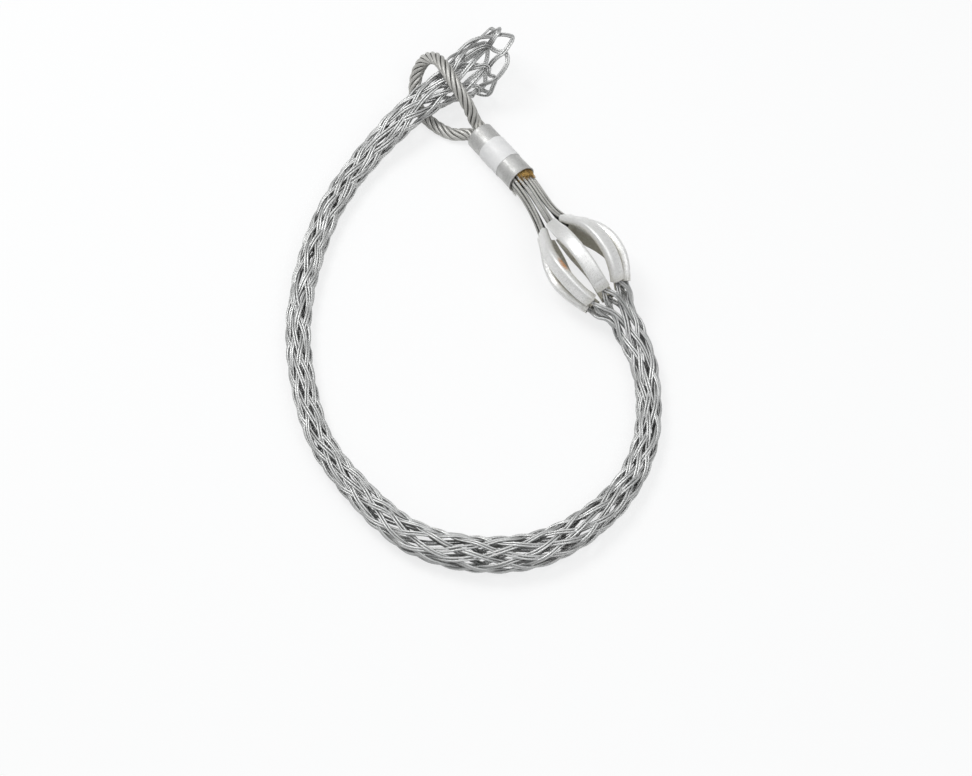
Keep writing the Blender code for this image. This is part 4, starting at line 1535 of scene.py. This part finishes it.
    def build(self, material: bpy.types.Material) -> None:
        """Build every pair."""
        strand = LaidStrand(self.diameter, self.wires, self.lay, furrow=0.13, step=2.0 * MM)
        for index in range(self.cage.count):
            self.build_pair(index, strand, material)
        strand.discard()


@dataclass(frozen=True)
class Lamp:
    """A soft square lamp that points at the grip."""

    name: str
    place: tuple[float, float, float]
    size: float
    power: float
    tint: Colour = (1.0, 1.0, 1.0)


@dataclass
class Studio:
    """The pale floor, the lamps, the sky and the camera."""

    look_at: tuple[float, float, float] = tuple(ORIGIN)
    elevation: float = math.radians(65.0)
    distance: float = 2.4
    lens: float = 97.15
    sensor: float = 36.0
    floor_size: float = 30.0
    floor_drop: float = 0.15 * MM
    floor_colour: Colour = (0.9, 0.9, 0.9)
    seen_colour: Colour = (0.995, 0.998, 1.0)
    seen_share: float = 0.75
    low_sky: Colour = (0.34, 0.34, 0.33)
    high_sky: Colour = (0.92, 0.93, 0.94)
    sky_rise: tuple[float, float] = (0.12, 0.75)
    sky_strength: float = 0.6
    lamps: tuple[Lamp, ...] = (
        Lamp("key", (-0.8, 0.55, 2.0), 0.85, 22.0, (1.0, 0.997, 0.99)),
        Lamp("top", (0.9, -0.5, 2.1), 1.4, 12.0),
    )

    @staticmethod
    def emptied(owner: bpy.types.Material | bpy.types.World) -> Graph:
        """The emptied tree of a material or a world."""
        owner.use_nodes = True
        owner.node_tree.nodes.clear()
        return Graph(owner.node_tree)

    @staticmethod
    def mixed(graph: Graph, share: Source, first: bpy.types.Node, second: bpy.types.Node) -> Source:
        """Two shaders, mixed by the share of the second."""
        feeds = {"Fac": share, 1: first.outputs[0], 2: second.outputs[0]}
        return graph.node("ShaderNodeMixShader", feeds).outputs[0]

    def build_floor(self) -> None:
        """Build the floor, which shows nearly white to the camera and keeps the shadow."""
        Bench.clear()
        place = (0.0, 0.0, -self.floor_drop)
        bpy.ops.mesh.primitive_plane_add(size=self.floor_size, location=place)
        floor = bpy.context.view_layer.objects.active
        floor.name = "floor"
        material = bpy.data.materials.new("pale_floor")
        graph = self.emptied(material)
        plain = graph.node("ShaderNodeBsdfDiffuse", {"Color": self.floor_colour})
        glow = graph.node("ShaderNodeEmission", {"Color": self.seen_colour, "Strength": 1.0})
        seen = graph.node("ShaderNodeLightPath").outputs["Is Camera Ray"]
        surface = self.mixed(graph, graph.scaled(seen, self.seen_share), plain, glow)
        graph.node("ShaderNodeOutputMaterial", {"Surface": surface})
        floor.data.materials.append(material)

    @staticmethod
    def facing(away: np.ndarray) -> tuple[float, float, float]:
        """The turn that points a lamp's or a camera's -Z against a direction."""
        level = math.hypot(away[0], away[1])
        return (math.atan2(level, away[2]), 0.0, math.atan2(away[0], -away[1]))

    def build_lamps(self) -> None:
        """Build the lamps."""
        for lamp in self.lamps:
            data = bpy.data.lights.new(lamp.name, "AREA")
            data.shape = "SQUARE"
            data.size = lamp.size
            data.energy = lamp.power
            data.color = lamp.tint
            item = Bench.add(lamp.name, data)
            item.location = lamp.place
            item.rotation_euler = self.facing(np.array(lamp.place) - np.array(self.look_at))

    def build_sky(self) -> None:
        """Build the sky, which is darker near the ground and white to the camera."""
        world = bpy.data.worlds.new("studio")
        bpy.context.scene.world = world
        graph = self.emptied(world)
        where = graph.node("ShaderNodeTexCoord").outputs["Generated"]
        height = graph.node("ShaderNodeSeparateXYZ", {"Vector": where}).outputs["Z"]
        sky = graph.blend(graph.span(height, self.sky_rise, WHOLE), self.low_sky, self.high_sky)
        glow = graph.node("ShaderNodeBackground", {"Color": sky, "Strength": self.sky_strength})
        white = graph.node("ShaderNodeBackground", {"Color": (1.0, 1.0, 1.0)})
        seen = graph.node("ShaderNodeLightPath").outputs["Is Camera Ray"]
        graph.node("ShaderNodeOutputWorld", {"Surface": self.mixed(graph, seen, glow, white)})

    def build_camera(self) -> None:
        """Build the camera at the photograph's place."""
        data = bpy.data.cameras.new("camera")
        data.lens = self.lens
        data.sensor_width = self.sensor
        camera = Bench.add("camera", data)
        away = self.distance * np.array((0.0, -math.cos(self.elevation), math.sin(self.elevation)))
        camera.location = np.array(self.look_at) + away
        camera.rotation_euler = self.facing(away)
        bpy.context.scene.camera = camera

    def build(self) -> None:
        """Build the whole studio."""
        self.build_camera()
        self.build_floor()
        self.build_lamps()
        self.build_sky()
        bpy.context.scene.view_settings.view_transform = "Standard"


def main() -> None:
    """Build every sub-assembly in order."""
    logging.basicConfig(level=logging.INFO, format="%(name)s %(message)s")
    Studio().build()
    ferrule_lay = FerruleLay()
    cage = CageLay()
    spine = cage.spine(ferrule_lay)
    rope = StrandFinish(
        "greased_rope",
        metallic=0.55,
        roughness=(0.42, 0.6),
        dull=(0.47, 0.465, 0.44),
        bright=(0.7, 0.695, 0.67),
        furrow_share=0.97,
        inside_share=0.95,
    ).build()
    dark_rope = StrandFinish(
        "greased_fan",
        metallic=0.6,
        roughness=(0.42, 0.6),
        dull=(0.38, 0.375, 0.355),
        bright=(0.62, 0.615, 0.59),
        furrow_share=0.97,
        inside_share=0.96,
    ).build()
    zinc = StrandFinish(
        "zinc_strand",
        metallic=0.75,
        roughness=(0.38, 0.52),
        dull=(0.52, 0.525, 0.52),
        bright=(0.76, 0.765, 0.76),
        furrow_share=0.4,
        inside_share=0.64,
    ).build()
    bright = AluminiumFinish(
        "bright_tube",
        metallic=0.4,
        roughness=(0.3, 0.42),
        dull=(0.88, 0.88, 0.865),
        bright=(0.96, 0.96, 0.955),
        # The colour of the painted shade mixed with grime on the tubes' inner sides.
        shade_and_grime=(0.31, 0.28, 0.165),
        fine=0.57,
        marked=0.42,
    ).build()
    pressed = AluminiumFinish(
        "pressed_sleeve",
        metallic=0.6,
        roughness=(0.42, 0.6),
        dull=(0.5, 0.5, 0.49),
        bright=(0.7, 0.7, 0.69),
        across=14.0,
        along=40.0,
        fine=0.58,
        marked=0.45,
    ).build()
    wrap = WrapFinish("white_wrap", roughness=(0.35, 0.55)).build()
    fibre = FibreFinish("core_fibre_brown", roughness=(0.8, 0.95)).build()
    eye = RopeEye(ferrule_lay)
    eye.build(rope)
    eye.build_core_ends(fibre)
    ferrule = Ferrule(ferrule_lay)
    ferrule.build_sleeve(pressed)
    ferrule.build_label(wrap)
    ferrule.build_tuft(fibre)
    ferrule.build_broken_wires(rope)
    Fan(ferrule_lay, cage).build(spine, dark_rope)
    for index in range(cage.count):
        ShoulderTube(cage, index).build(spine, bright)
    WovenSleeve(cage, spine).build(zinc)
    Bench.clear()


if __name__ == "__main__":
    main()
